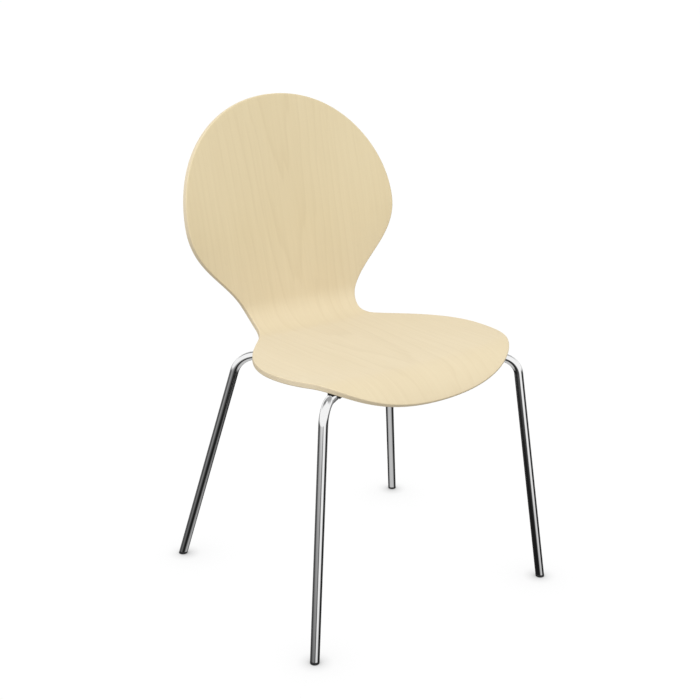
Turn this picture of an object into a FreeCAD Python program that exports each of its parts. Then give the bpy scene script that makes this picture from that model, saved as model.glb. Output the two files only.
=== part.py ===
import FreeCAD, Part
import math
import os

import Sketcher
from FreeCAD import Base, Placement, Rotation, Vector

# A stacking chair: one pressed plywood shell on two bent steel tubes.
# Millimetres.  +Z is up, the sitter faces -Y, the sitter's left hand is at +X.
# The origin is on the floor, below the middle of the chair's overall width and depth.

doc = FreeCAD.newDocument("StackingChair")

# ---------------------------------------------------------------- driving sizes

SIZES = [
    # the sheet's side profile, followed along its upper face from the front edge
    ("front_edge_height", 416.0, "height of the upper face at the front edge"),
    ("lip_angle", 53.0, "slope of the front edge, degrees"),
    ("lip_length", 95.0, "length of the curve over the front edge"),
    ("seat_pitch", 2.5, "fall of the seat towards the back, degrees"),
    ("seat_run", 286.0, "straight length of the seat"),
    ("bend_radius", 64.0, "bend between the seat and the back, upper face"),
    ("back_angle", 76.2, "slope of the back, degrees"),
    ("blank_length", 845.0, "length of the sheet before it is bent"),
    # how deep the sheet is dished from side to side, as radii
    ("front_dish", 1800.0, "side to side radius at the front edge"),
    ("seat_dish", 3800.0, "side to side radius of the seat"),
    ("bend_dish", 2200.0, "side to side radius in the bend"),
    ("back_dish", 980.0, "side to side radius at the widest part of the back"),
    ("top_dish", 1500.0, "side to side radius at the top"),
    # the outline of the sheet, half widths and how far along they lie
    ("seat_half_width", 229.8, "half the widest part of the seat"),
    ("seat_wide_at", 192.0, "where the seat is widest"),
    ("neck_half_width", 115.0, "half the narrowest part"),
    ("neck_at", 418.0, "where the neck is narrowest"),
    ("back_half_width", 225.0, "half the widest part of the back"),
    ("back_wide_at", 625.0, "where the back is widest"),
    # how far the outline's tangents reach, which sets how round it is
    ("front_reach", 127.0, "tangent along the front edge"),
    ("seat_front_reach", 146.0, "tangent at the seat's side, forwards"),
    ("seat_rear_reach", 108.0, "tangent at the seat's side, backwards"),
    ("neck_lower_reach", 44.0, "tangent at the neck, towards the seat"),
    ("neck_upper_reach", 89.0, "tangent at the neck, towards the back"),
    ("back_lower_reach", 97.0, "tangent at the back's side, downwards"),
    ("back_upper_reach", 115.0, "tangent at the back's side, upwards"),
    ("top_reach", 136.0, "tangent along the top edge"),
    # plies
    ("ply_thickness", 1.07, "one veneer"),
    ("core_ply_count", 5, "veneers pressed into the core"),
    ("edge_round", 1.3, "how far the outer faces are drawn in at the rounded edge"),
    ("edge_round_inner", 0.35, "the same, one veneer deeper"),
    # steel tube
    ("tube_diameter", 16.0, "outer diameter of the leg tube"),
    ("tube_wall", 1.5, "wall of the leg tube"),
    ("front_bend_radius", 35.0, "centre line radius at the top of the front legs"),
    ("rear_bend_radius", 44.0, "centre line radius at the top of the rear legs"),
    ("hub_bend_radius", 36.0, "centre line radius beside the mounting plate"),
    ("front_corner_inset", 24.8, "front leg's top corner, in from the seat's widest part"),
    ("rear_corner_inset", 62.8, "rear leg's top corner, in from the seat's widest part"),
    ("front_corner_setback", 47.5, "front leg's top corner behind the front edge"),
    ("rear_corner_setback", 12.0, "rear leg's top corner behind the end of the seat"),
    ("front_corner_rise", 20.5, "front leg's top corner above the tubes' middle"),
    ("rear_corner_rise", 2.0, "rear leg's top corner above the tubes' middle"),
    ("front_splay", 48.0, "how far a front foot stands outside its top corner"),
    ("rear_splay", 86.0, "how far a rear foot stands outside its top corner"),
    ("front_rake", 39.0, "how far a front foot stands ahead of its top corner"),
    ("rear_rake", 91.5, "how far a rear foot stands behind its top corner"),
    ("hub_setback", 240.0, "middle of the mounting plate behind the front edge"),
    # what holds the frame to the shell; a formula ties a size to the one that it fits
    ("pad_radius", 90.0, "plywood pad under the seat"),
    ("pad_thickness", 12.0, "plywood pad at its middle"),
    ("cap_radius", "=pad_radius - 3", "outside of the cover cap"),
    ("cap_wall", 2.0, "wall and floor of the cap"),
    ("cap_gap", 1.0, "between the tubes and the cap's floor"),
    ("cap_edge_round", 5.0, "rounding of the cap's lower edge"),
    ("plate_radius", "=cap_radius - cap_wall - 7", "steel mounting plate"),
    ("plate_thickness", 3.0, "steel mounting plate"),
    ("tube_relief", 0.5, "around the tubes where they rise past the plate and the pad"),
    ("front_hub_run", 50.0, "middle run of the front tube, corner to corner"),
    ("rear_hub_run", 90.0, "middle run of the rear tube, corner to corner"),
    ("front_hub_offset", "=plate_radius * 8 / 13", "front tube's middle run, ahead of the plate's middle"),
    ("rear_hub_offset", "=plate_radius * 16 / 39", "rear tube's middle run, behind the plate's middle"),
    ("screw_diameter", 6.0, "thread of the machine screws"),
    ("screw_length", 12.0, "machine screws under the head"),
    ("screw_head_radius", "=screw_diameter - 0.5", "button head"),
    ("screw_head_height", 3.3, "button head"),
    ("screw_crown_radius", "=screw_head_radius - 2.1", "flat crown of the button head"),
    ("screw_shoulder_radius", "=screw_head_radius - 0.5", "between the crown and the head's rim"),
    ("screw_shoulder_height", 1.2, "between the crown and the head's rim"),
    ("screw_rim_height", 2.6, "start of the head's straight rim"),
    ("screw_tip_chamfer", 0.8, "lead-in at the screw's tip"),
    ("socket_width", 4.0, "hexagon socket across its flats"),
    ("socket_depth", 2.2, "hexagon socket"),
    ("clear_hole_radius", "=screw_diameter / 2 + 0.3", "screw hole in the plate"),
    ("washer_radius", "=screw_head_radius + 0.7", "washer under each screw's head"),
    ("washer_thickness", 1.6, "washer under each screw's head"),
    ("washer_gap", 1.8, "between the front screw's washer and the front tube"),
    ("bolt_circle_radius", "=front_hub_offset + tube_diameter / 2 + washer_gap + washer_radius",
     "screws around the plate's middle"),
    ("insert_radius", "=screw_diameter / 2 + 1.5", "threaded insert in the pad"),
    ("insert_length", 7.0, "threaded insert in the pad"),
    ("insert_hole_depth", 8.2, "drilling for the insert"),
    ("weld_leg", 4.5, "width of the fillet welds between tube and plate"),
    ("weld_throat", 3.0, "how far the fillet welds hang below the plate"),
    ("weld_root", 2.5, "from the tube's middle to the weld"),
    ("front_weld_length", 22.0, "fillet welds along the front tube"),
    ("rear_weld_length", 44.0, "fillet welds along the rear tube"),
    # notches and clips of the cover cap
    ("notch_clearance", 0.7, "around each tube where it leaves the cap"),
    ("clip_width", 14.0, "clip inside the cap, along the tube"),
    ("clip_wall", 2.4, "clip beside the tube"),
    ("clip_grip", 2.5, "how far the clip reaches above the tube's middle"),
    # rubber buffers between tube and shell
    ("buffer_length", 26.0, "along the tube"),
    ("buffer_wall", 3.0, "beside the tube"),
    ("buffer_wrap", 3.0, "how far the buffer reaches below the tube's middle"),
    ("buffer_at", 68.0, "middle of the buffer from the leg's top corner"),
    # feet
    ("glide_height", 5.0, "visible part of the plastic glide"),
    ("glide_stem_length", 22.0, "part of the glide inside the tube"),
    ("glide_clearance", 0.1, "between the stem and the tube's bore"),
    ("glide_edge_round", 0.8, "rounding of the sole's edge"),
]

sheet = doc.addObject("Spreadsheet::Sheet", "Sizes")
for row, (alias, value, note) in enumerate(SIZES, start=1):
    sheet.set(f"A{row}", alias)
    sheet.set(f"B{row}", str(value))
    sheet.setAlias(f"B{row}", alias)
    sheet.set(f"C{row}", note)
doc.recompute()


def size(alias):
    """The value of one named cell."""
    return float(getattr(sheet, alias))


NODES = []


def keep(feature, label):
    """Name a finished sub-part and put it on the list that is written out."""
    feature.Label = label
    NODES.append(feature)
    return feature


# ---------------------------------------------------------------- the sheet's shape

LIP_ANGLE = math.radians(size("lip_angle"))
SEAT_ANGLE = -math.radians(size("seat_pitch"))
BACK_ANGLE = math.radians(size("back_angle"))
SEAT_END = size("lip_length") + size("seat_run")
BEND_LENGTH = size("bend_radius") * (BACK_ANGLE - SEAT_ANGLE)
BACK_START = SEAT_END + BEND_LENGTH
SHELL_THICKNESS = size("ply_thickness") * (size("core_ply_count") + 4)
SURFACE_MARGIN = 6.0
STATION_STEP = 12.0


def profile(run):
    """Side profile: y and z from the front edge, and the slope, `run` along the sheet."""
    pieces = [
        (size("lip_length"), LIP_ANGLE, SEAT_ANGLE),
        (size("seat_run"), SEAT_ANGLE, SEAT_ANGLE),
        (BEND_LENGTH, SEAT_ANGLE, BACK_ANGLE),
    ]
    y = 0.0
    z = size("front_edge_height")
    if run < 0:
        return y + run * math.cos(LIP_ANGLE), z + run * math.sin(LIP_ANGLE), LIP_ANGLE
    for length, start, end in pieces:
        part = min(run, length)
        angle = start + (end - start) * part / length
        if start == end:
            y += part * math.cos(start)
            z += part * math.sin(start)
        else:
            radius = length / (end - start)
            y += radius * (math.sin(angle) - math.sin(start))
            z += radius * (math.cos(start) - math.cos(angle))
        run -= part
        if run <= 0:
            return y, z, angle
    return y + run * math.cos(BACK_ANGLE), z + run * math.sin(BACK_ANGLE), BACK_ANGLE


def dish(run):
    """How strongly the sheet is dished at `run`: half of one over the radius."""
    stations = [
        (0.0, size("front_dish")),
        (SEAT_END / 2, size("seat_dish")),
        (SEAT_END + BEND_LENGTH / 2, size("bend_dish")),
        (size("back_wide_at"), size("back_dish")),
        (size("blank_length"), size("top_dish")),
    ]
    run = min(max(run, 0.0), size("blank_length"))
    for (low, low_radius), (high, high_radius) in zip(stations, stations[1:]):
        if run <= high:
            share = max(run - low, 0.0) / (high - low)
            share = share * share * (3 - 2 * share)
            return 0.5 / low_radius + (0.5 / high_radius - 0.5 / low_radius) * share
    return 0.5 / stations[-1][1]


BACK_TOP_Y, _, _ = profile(size("blank_length"))
DEPTH = BACK_TOP_Y + SHELL_THICKNESS * math.sin(BACK_ANGLE)
FRONT_Y = -DEPTH / 2


def sheet_point(across, run, depth):
    """A point of the sheet, `depth` below its upper face."""
    y, z, angle = profile(run)
    bow = dish(run)
    lift = bow * across * across - depth
    return Vector(
        across * (1 + 2 * bow * depth),
        FRONT_Y + y - lift * math.sin(angle),
        z + lift * math.cos(angle),
    )


SURFACE_HALF = max(size("seat_half_width"), size("back_half_width")) + SURFACE_MARGIN


def layer_surface(depth):
    """The whole sheet at one depth: quadratic across, cubic along, in blank coordinates."""
    first = -SURFACE_MARGIN
    last = size("blank_length") + SURFACE_MARGIN
    count = round((last - first) / STATION_STEP)
    runs = [first + (last - first) * step / count for step in range(count + 1)]
    rows = []
    for side in (-1, 0, 1):
        points = []
        for run in runs:
            rim = sheet_point(SURFACE_HALF, run, depth)
            middle = sheet_point(0, run, depth)
            if side:
                points.append(Vector(side * rim.x, rim.y, rim.z))
            else:
                points.append(middle * 2 - Vector(0, rim.y, rim.z))
        curve = Part.BSplineCurve()
        curve.interpolate(Points=points, Parameters=runs)
        rows.append(curve)
    surface = Part.BSplineSurface()
    surface.buildFromPolesMultsKnots(
        [curve.getPoles() for curve in rows],
        [3, 3],
        rows[0].getMultiplicities(),
        [-SURFACE_HALF, SURFACE_HALF],
        rows[0].getKnots(),
        False,
        False,
        2,
        3,
    )
    return surface


def outline(inset):
    """The sheet's closed outline in blank coordinates, drawn in by `inset`."""
    point = Base.Vector2d
    seat = size("seat_half_width") - inset
    neck = size("neck_half_width") - inset
    back = size("back_half_width") - inset
    top = size("blank_length") - inset
    seat_at = size("seat_wide_at")
    neck_at = size("neck_at")
    back_at = size("back_wide_at")
    half = [
        [(0, inset), (size("front_reach"), inset),
         (seat, seat_at - size("seat_front_reach")), (seat, seat_at)],
        [(seat, seat_at), (seat, seat_at + size("seat_rear_reach")),
         (neck, neck_at - size("neck_lower_reach")), (neck, neck_at)],
        [(neck, neck_at), (neck, neck_at + size("neck_upper_reach")),
         (back, back_at - size("back_lower_reach")), (back, back_at)],
        [(back, back_at), (back, back_at + size("back_upper_reach")),
         (size("top_reach"), top), (0, top)],
    ]
    mirrored = [[(-x, run) for x, run in reversed(poles)] for poles in reversed(half)]
    curves = []
    for poles in half + mirrored:
        curve = Part.Geom2d.BezierCurve2d()
        curve.setPoles([point(x, run) for x, run in poles])
        curves.append(curve)
    return curves


def slab(upper_depth, lower_depth, upper_curves, lower_curves):
    """A solid between two depths of the sheet, bounded by a closed outline at each."""
    faces = []
    rims = []
    for depth, curves in ((upper_depth, upper_curves), (lower_depth, lower_curves)):
        surface = layer_surface(depth)
        edges = [curve.toShape(surface) for curve in curves]
        face = Part.Face(surface, Part.Wire(edges))
        face.validate()
        faces.append(face)
        rims.append(edges)
    for upper, lower in zip(*rims):
        faces.append(Part.makeRuledSurface(upper, lower))
    shell = Part.Shell(faces)
    shell.sewShape()
    solid = Part.Solid(shell)
    if solid.Volume < 0:
        solid.reverse()
    return solid


def add_ply(label, first, last):
    """One pressed layer, from veneer number `first` to veneer number `last`."""
    total = int(size("core_ply_count")) + 4
    insets = {0: size("edge_round"), 1: size("edge_round_inner")}
    insets[total] = insets[0]
    insets[total - 1] = insets[1]
    thickness = size("ply_thickness")
    layer = doc.addObject("Part::Feature", label)
    layer.Shape = slab(
        first * thickness,
        last * thickness,
        outline(insets.get(first, 0.0)),
        outline(insets.get(last, 0.0)),
    )
    return keep(layer, label)


core_end = 2 + int(size("core_ply_count"))
add_ply("face_veneer", 0, 1)
add_ply("upper_cross_ply", 1, 2)
add_ply("core_plies", 2, core_end)
add_ply("lower_cross_ply", core_end, core_end + 1)
add_ply("reverse_veneer", core_end + 1, core_end + 2)

# ---------------------------------------------------------------- heights and corners

TUBE_RADIUS = size("tube_diameter") / 2
HUB_Y = FRONT_Y + size("hub_setback")


def underside_height(distance_back):
    """Height of the shell's lower face on the centre line of the seat's straight part."""
    start_y, start_z, _ = profile(size("lip_length"))
    drop = (distance_back - start_y) * math.tan(SEAT_ANGLE)
    return start_z + drop - SHELL_THICKNESS / math.cos(SEAT_ANGLE)


PAD_BOTTOM = underside_height(size("hub_setback")) - size("pad_thickness")
PLATE_BOTTOM = PAD_BOTTOM - size("plate_thickness")
HUB_HEIGHT = PLATE_BOTTOM - TUBE_RADIUS
SEAT_END_Y = FRONT_Y + profile(SEAT_END)[0]

# one leg of each frame, on the +X side: floor, top corner, corner beside the plate
LEG_ENDS = {
    "front": {
        "corner": Vector(
            size("seat_half_width") - size("front_corner_inset"),
            FRONT_Y + size("front_corner_setback"),
            HUB_HEIGHT + size("front_corner_rise"),
        ),
        "spread": Vector(size("front_splay"), -size("front_rake"), 0),
        "hub": Vector(size("front_hub_run") / 2, HUB_Y - size("front_hub_offset"), HUB_HEIGHT),
        "bend": size("front_bend_radius"),
    },
    "rear": {
        "corner": Vector(
            size("seat_half_width") - size("rear_corner_inset"),
            SEAT_END_Y + size("rear_corner_setback"),
            HUB_HEIGHT + size("rear_corner_rise"),
        ),
        "spread": Vector(size("rear_splay"), size("rear_rake"), 0),
        "hub": Vector(size("rear_hub_run") / 2, HUB_Y + size("rear_hub_offset"), HUB_HEIGHT),
        "bend": size("rear_bend_radius"),
    },
}
for leg in LEG_ENDS.values():
    foot = leg["corner"] + leg["spread"]
    leg["foot"] = Vector(foot.x, foot.y, 0)
    leg["axis"] = (leg["corner"] - leg["foot"]).normalize()


def mirrored(point):
    """The same point on the chair's other side."""
    return Vector(-point.x, point.y, point.z)


# ---------------------------------------------------------------- building blocks


def cylinder(name, radius, height, place):
    """A Part cylinder whose radius and height are bound to the sheet."""
    solid = doc.addObject("Part::Cylinder", name)
    solid.setExpression("Radius", radius)
    solid.setExpression("Height", height)
    solid.Placement = place
    return solid


def box(name, length, width, height, place):
    """A Part box whose sides are bound to the sheet."""
    solid = doc.addObject("Part::Box", name)
    solid.setExpression("Length", length)
    solid.setExpression("Width", width)
    solid.setExpression("Height", height)
    solid.Placement = place
    return solid


def cut(name, base, tool):
    """One shape with another taken out of it."""
    result = doc.addObject("Part::Cut", name)
    result.Base = base
    result.Tool = tool
    return result


def join(name, shapes):
    """Several shapes as one solid."""
    result = doc.addObject("Part::MultiFuse", name)
    result.Shapes = shapes
    return result


def gather(name, shapes):
    """Several separate solids as one node."""
    result = doc.addObject("Part::Compound", name)
    result.Links = shapes
    return result


def upright(x, y, z):
    """A placement that only moves."""
    return Placement(Vector(x, y, z), Rotation())


def along(point, direction):
    """A placement at a point, with local Z along a direction."""
    return Placement(point, Rotation(Vector(0, 0, 1), direction))


def beside(point, direction):
    """A placement at a point, with local X along a direction and local Z upwards."""
    sideways = Vector(0, 0, 1).cross(direction)
    return Placement(point, Rotation(direction, sideways, Vector(0, 0, 1), "XZY"))


# ---------------------------------------------------------------- leg frames


def bent_path(points, radii):
    """Straight runs through the points, joined by tangent arcs."""
    edges = []
    last = points[0]
    for before, corner, after, radius in zip(points, points[1:], points[2:], radii):
        back = (before - corner).normalize()
        ahead = (after - corner).normalize()
        half_turn = (math.pi - back.getAngle(ahead)) / 2
        reach = radius * math.tan(half_turn)
        start = corner + back * reach
        end = corner + ahead * reach
        inward = (back + ahead).normalize()
        middle = corner + inward * (radius / math.cos(half_turn) - radius)
        edges.append(Part.LineSegment(last, start).toShape())
        edges.append(Part.Arc(start, middle, end).toShape())
        last = end
    edges.append(Part.LineSegment(last, points[-1]).toShape())
    return Part.Wire(edges)


def add_leg_frame(side):
    """One continuous tube from foot to foot, cut level above the glides."""
    leg = LEG_ENDS[side]
    below = leg["foot"] - leg["axis"] * size("tube_diameter") * 2
    half = [below, leg["corner"], leg["hub"]]
    points = half + [mirrored(point) for point in reversed(half)]
    radii = [leg["bend"], size("hub_bend_radius"), size("hub_bend_radius"), leg["bend"]]
    spine = doc.addObject("Part::Feature", f"{side}_tube_path")
    spine.Shape = bent_path(points, radii)
    edge_names = [f"Edge{number}" for number in range(1, len(spine.Shape.Edges) + 1)]
    sweeps = []
    for wall, radius in (("outside", "Sizes.tube_diameter / 2"),
                         ("bore", "Sizes.tube_diameter / 2 - Sizes.tube_wall")):
        ring = doc.addObject("Part::Circle", f"{side}_tube_{wall}_ring")
        ring.setExpression("Radius", radius)
        ring.Placement = along(below, leg["axis"])
        sweep = doc.addObject("Part::Sweep", f"{side}_tube_{wall}")
        sweep.Sections = [ring]
        sweep.Spine = (spine, edge_names)
        sweep.Solid = True
        sweep.Frenet = False
        sweeps.append(sweep)
    tube = cut(f"{side}_tube", *sweeps)
    reach = 4 * leg["foot"].x
    depth = 6 * size("tube_diameter")
    floor_block = box(
        f"{side}_floor_block", f"{reach}", f"{reach}", f"Sizes.glide_height + {depth}",
        upright(-reach / 2, leg["foot"].y - reach / 2, -depth),
    )
    return keep(cut(f"{side}_leg_frame_cut", tube, floor_block), f"{side}_leg_frame")


front_frame = add_leg_frame("front")
rear_frame = add_leg_frame("rear")

# ---------------------------------------------------------------- glides


def add_glide(side, hand, label):
    """A plastic foot: a level disc under the tube's end and a stem inside the tube."""
    leg = LEG_ENDS[side]
    foot = leg["foot"] if hand > 0 else mirrored(leg["foot"])
    axis = leg["axis"] if hand > 0 else mirrored(leg["axis"])
    block = 4 * size("tube_diameter")
    round_bar = cylinder(
        f"{label}_round", "Sizes.tube_diameter / 2", f"{block}",
        along(foot - axis * block / 2, axis),
    )
    slice_block = box(
        f"{label}_slice", f"{block}", f"{block}", "Sizes.glide_height",
        upright(foot.x - block / 2, foot.y - block / 2, 0),
    )
    disc = doc.addObject("Part::Common", f"{label}_disc")
    disc.Base = round_bar
    disc.Tool = slice_block
    stem_bar = cylinder(
        f"{label}_stem_bar",
        "Sizes.tube_diameter / 2 - Sizes.tube_wall - Sizes.glide_clearance",
        "Sizes.glide_stem_length + Sizes.glide_height",
        along(foot, axis),
    )
    stem_block = box(
        f"{label}_stem_block", f"{block}", f"{block}",
        "Sizes.glide_height / 2 + Sizes.tube_diameter",
        upright(foot.x - block / 2, foot.y - block / 2, -size("tube_diameter")),
    )
    stem = cut(f"{label}_stem", stem_bar, stem_block)
    body = join(f"{label}_body", [disc, stem])
    doc.recompute()
    rounded = doc.addObject("Part::Fillet", f"{label}_rounded")
    rounded.Base = body
    radius = size("glide_edge_round")
    rounded.Edges = [
        (number, radius, radius)
        for number, edge in enumerate(body.Shape.Edges, start=1)
        if edge.BoundBox.ZMax < size("glide_height") / 10
    ]
    return keep(rounded, label)


for side in ("front", "rear"):
    for hand, word in ((1, "left"), (-1, "right")):
        add_glide(side, hand, f"{side}_{word}_glide")

# ---------------------------------------------------------------- pad, plate and screws


def edge_rectangle():
    """A rectangle on the seat, in blank coordinates, well clear of pad and buffers."""
    low, high = SURFACE_MARGIN, BACK_START
    wide = SURFACE_HALF - SURFACE_MARGIN / 2
    corners = [(-wide, low), (wide, low), (wide, high), (-wide, high)]
    ends = [Base.Vector2d(*corner) for corner in corners]
    sides = []
    for start, end in zip(ends, ends[1:] + ends[:1]):
        sides.append(Part.Geom2d.Line2dSegment(start, end))
    return sides


CLEARING_HEIGHT = 30.0
above_seat = doc.addObject("Part::Feature", "space_above_underside")
above_seat.Shape = slab(-CLEARING_HEIGHT, SHELL_THICKNESS, edge_rectangle(), edge_rectangle())

BOLT_PLACES = [
    Vector(math.cos(turn) * size("bolt_circle_radius"), math.sin(turn) * size("bolt_circle_radius"), 0)
    for turn in (0, math.pi / 2, math.pi, 3 * math.pi / 2)
]


def bolt_holes(name, radius, height, level):
    """Four round tools on the bolt circle, from one level upwards."""
    tools = []
    for number, place in enumerate(BOLT_PLACES, start=1):
        tools.append(cylinder(
            f"{name}_{number}", radius, height,
            upright(place.x, HUB_Y + place.y, level),
        ))
    return gather(name, tools)


def leg_direction(side, hand):
    """From the corner beside the plate to the leg's top corner, on one side of the chair."""
    leg = LEG_ENDS[side]
    direction = (leg["corner"] - leg["hub"]).normalize()
    return direction if hand > 0 else mirrored(direction)


def hub_corner(side, hand):
    """The corner of a tube beside the plate, on one side of the chair."""
    corner = LEG_ENDS[side]["hub"]
    return corner if hand > 0 else mirrored(corner)


def tube_reliefs(name):
    """Four bars, a little wider than the tubes, where these rise past the plate's rim."""
    bars = []
    for side in LEG_ENDS:
        for hand, word in ((1, "left"), (-1, "right")):
            start = hub_corner(side, hand)
            bars.append(cylinder(
                f"{name}_{side}_{word}", "Sizes.tube_diameter / 2 + Sizes.tube_relief",
                "Sizes.pad_radius", along(start, leg_direction(side, hand)),
            ))
    return gather(name, bars)


pad_block = cylinder(
    "pad_block", "Sizes.pad_radius", "Sizes.pad_thickness * 2",
    upright(0, HUB_Y, PAD_BOTTOM),
)
pad_shaped = cut("pad_shaped", pad_block, above_seat)
insert_holes = bolt_holes(
    "insert_holes", "Sizes.insert_radius", "Sizes.insert_hole_depth", PAD_BOTTOM
)
pad_drilled = cut("pad_drilled", pad_shaped, insert_holes)
keep(cut("pad_relieved", pad_drilled, tube_reliefs("pad_reliefs")), "mounting_pad")

plate_disc = cylinder(
    "plate_disc", "Sizes.plate_radius", "Sizes.plate_thickness",
    upright(0, HUB_Y, PLATE_BOTTOM),
)
plate_holes = bolt_holes(
    "plate_holes", "Sizes.clear_hole_radius", "Sizes.plate_thickness", PLATE_BOTTOM
)
plate_drilled = cut("plate_drilled", plate_disc, plate_holes)
keep(cut("plate_relieved", plate_drilled, tube_reliefs("plate_reliefs")), "mounting_plate")


def origin_item(body, role):
    """An axis or plane of a body's own origin."""
    for item in body.Origin.OriginFeatures:
        if item.Role == role:
            return item
    raise ValueError(role)


# where a sketch is drawn before its constraints move it into place
SKETCH_START = 60.0


def turned_group(label, place, centre, corners):
    """A body with one turned piece: a profile spun about an upright line at `centre`.

    The corners are (radius, height) pairs of sheet expressions."""
    body = doc.addObject("PartDesign::Body", f"{label}_body")
    body.Placement = place
    sketch = body.newObject("Sketcher::SketchObject", f"{label}_profile")
    sketch.AttachmentSupport = [(origin_item(body, "XZ_Plane"), "")]
    sketch.MapMode = "FlatFace"
    last = len(corners) - 1
    places = [Vector(SKETCH_START + step, 1 + step % 2, 0) for step in range(last + 1)]
    for step in range(last + 1):
        following = places[0] if step == last else places[step + 1]
        sketch.addGeometry(Part.LineSegment(places[step], following), False)
    for step in range(last + 1):
        following = 0 if step == last else step + 1
        sketch.addConstraint(Sketcher.Constraint("Coincident", step, 2, following, 1))
    for step, (radius, height) in enumerate(corners):
        for kind, expression in (("DistanceX", f"{centre} + {radius}"), ("DistanceY", height)):
            number = sketch.addConstraint(
                Sketcher.Constraint(kind, -1, 1, step, 1, SKETCH_START + step)
            )
            sketch.renameConstraint(number, f"{kind}_{step}")
            sketch.setExpression(f"Constraints.{kind}_{step}", expression)
    spindle_foot = Vector(SKETCH_START, 0, 0)
    spindle_top = Vector(SKETCH_START, SKETCH_START, 0)
    spindle = sketch.addGeometry(Part.LineSegment(spindle_foot, spindle_top), True)
    sketch.addConstraint(Sketcher.Constraint("Vertical", spindle))
    sketch.addConstraint(
        Sketcher.Constraint("DistanceY", spindle, 1, spindle, 2, SKETCH_START)
    )
    sketch.addConstraint(Sketcher.Constraint("PointOnObject", spindle, 1, -1))
    number = sketch.addConstraint(
        Sketcher.Constraint("DistanceX", -1, 1, spindle, 1, SKETCH_START)
    )
    sketch.renameConstraint(number, "spindle_place")
    sketch.setExpression("Constraints.spindle_place", centre)
    doc.recompute()
    turned = body.newObject("PartDesign::Revolution", f"{label}_turned")
    turned.Profile = sketch
    turned.ReferenceAxis = (sketch, ["Axis0"])
    turned.Angle = 360
    doc.recompute()
    return body, turned


def repeat_around(body, feature, label):
    """Repeat a feature four times about the body's upright axis."""
    pattern = body.newObject("PartDesign::PolarPattern", f"{label}_pattern")
    pattern.Originals = [feature]
    pattern.Axis = (origin_item(body, "Z_Axis"), [""])
    pattern.Angle = 360
    pattern.Occurrences = len(BOLT_PLACES)
    body.Tip = pattern
    doc.recompute()
    return body


insert_body, insert_turned = turned_group(
    "threaded_inserts", upright(0, HUB_Y, PAD_BOTTOM), "Sizes.bolt_circle_radius",
    [
        ("Sizes.screw_diameter / 2", "0"),
        ("Sizes.insert_radius", "0"),
        ("Sizes.insert_radius", "Sizes.insert_length"),
        ("Sizes.screw_diameter / 2", "Sizes.insert_length"),
    ],
)
keep(repeat_around(insert_body, insert_turned, "inserts"), "threaded_inserts")

WASHER_BOTTOM = PLATE_BOTTOM - size("washer_thickness")
washer_body, washer_turned = turned_group(
    "washers", upright(0, HUB_Y, WASHER_BOTTOM), "Sizes.bolt_circle_radius",
    [
        ("Sizes.clear_hole_radius", "0"),
        ("Sizes.washer_radius", "0"),
        ("Sizes.washer_radius", "Sizes.washer_thickness"),
        ("Sizes.clear_hole_radius", "Sizes.washer_thickness"),
    ],
)
keep(repeat_around(washer_body, washer_turned, "washers"), "washers")

screw_body, screw_turned = turned_group(
    "machine_screws", upright(0, HUB_Y, WASHER_BOTTOM - size("screw_head_height")),
    "Sizes.bolt_circle_radius",
    [
        ("0", "0"),
        ("Sizes.screw_crown_radius", "0"),
        ("Sizes.screw_shoulder_radius", "Sizes.screw_shoulder_height"),
        ("Sizes.screw_head_radius", "Sizes.screw_rim_height"),
        ("Sizes.screw_head_radius", "Sizes.screw_head_height"),
        ("Sizes.screw_diameter / 2", "Sizes.screw_head_height"),
        ("Sizes.screw_diameter / 2",
         "Sizes.screw_head_height + Sizes.screw_length - Sizes.screw_tip_chamfer"),
        ("Sizes.screw_diameter / 2 - Sizes.screw_tip_chamfer",
         "Sizes.screw_head_height + Sizes.screw_length"),
        ("0", "Sizes.screw_head_height + Sizes.screw_length"),
    ],
)
repeat_around(screw_body, screw_turned, "screw_blanks")
sockets = []
for number, place in enumerate(BOLT_PLACES, start=1):
    socket = doc.addObject("Part::Prism", f"hexagon_socket_{number}")
    socket.Polygon = 6
    socket.setExpression("Circumradius", "Sizes.socket_width / sqrt(3)")
    socket.setExpression("Height", "Sizes.socket_depth")
    socket.Placement = upright(
        place.x, HUB_Y + place.y, WASHER_BOTTOM - size("screw_head_height")
    )
    sockets.append(socket)
keep(cut("screws_with_sockets", screw_body, gather("sockets", sockets)), "machine_screws")

# ---------------------------------------------------------------- welds


def tube_core(name, side):
    """A bar that fills one tube's straight middle, to shape what lies against it."""
    length = f"{side}_weld_length"
    start = Vector(-size(length) / 2, LEG_ENDS[side]["hub"].y, HUB_HEIGHT)
    return cylinder(name, "Sizes.tube_diameter / 2", f"Sizes.{length}", along(start, Vector(1, 0, 0)))


def add_welds():
    """Four fillet welds, one on each side of each tube's straight middle."""
    beads = []
    for side in LEG_ENDS:
        core = tube_core(f"{side}_weld_core", side)
        length = f"{side}_weld_length"
        hub_y = LEG_ENDS[side]["hub"].y
        for word, near in (("ahead", -size("weld_root") - size("weld_leg")),
                           ("behind", size("weld_root"))):
            block = box(
                f"{side}_weld_block_{word}", f"Sizes.{length}", "Sizes.weld_leg",
                "Sizes.weld_throat",
                upright(-size(length) / 2, hub_y + near, PLATE_BOTTOM - size("weld_throat")),
            )
            beads.append(cut(f"{side}_weld_{word}", block, core))
    return keep(gather("welds", beads), "weld_beads")


add_welds()

# ---------------------------------------------------------------- cover cap

CAP_FLOOR_TOP = HUB_HEIGHT - TUBE_RADIUS - size("cap_gap")
CAP_BOTTOM = CAP_FLOOR_TOP - size("cap_wall")


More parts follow.
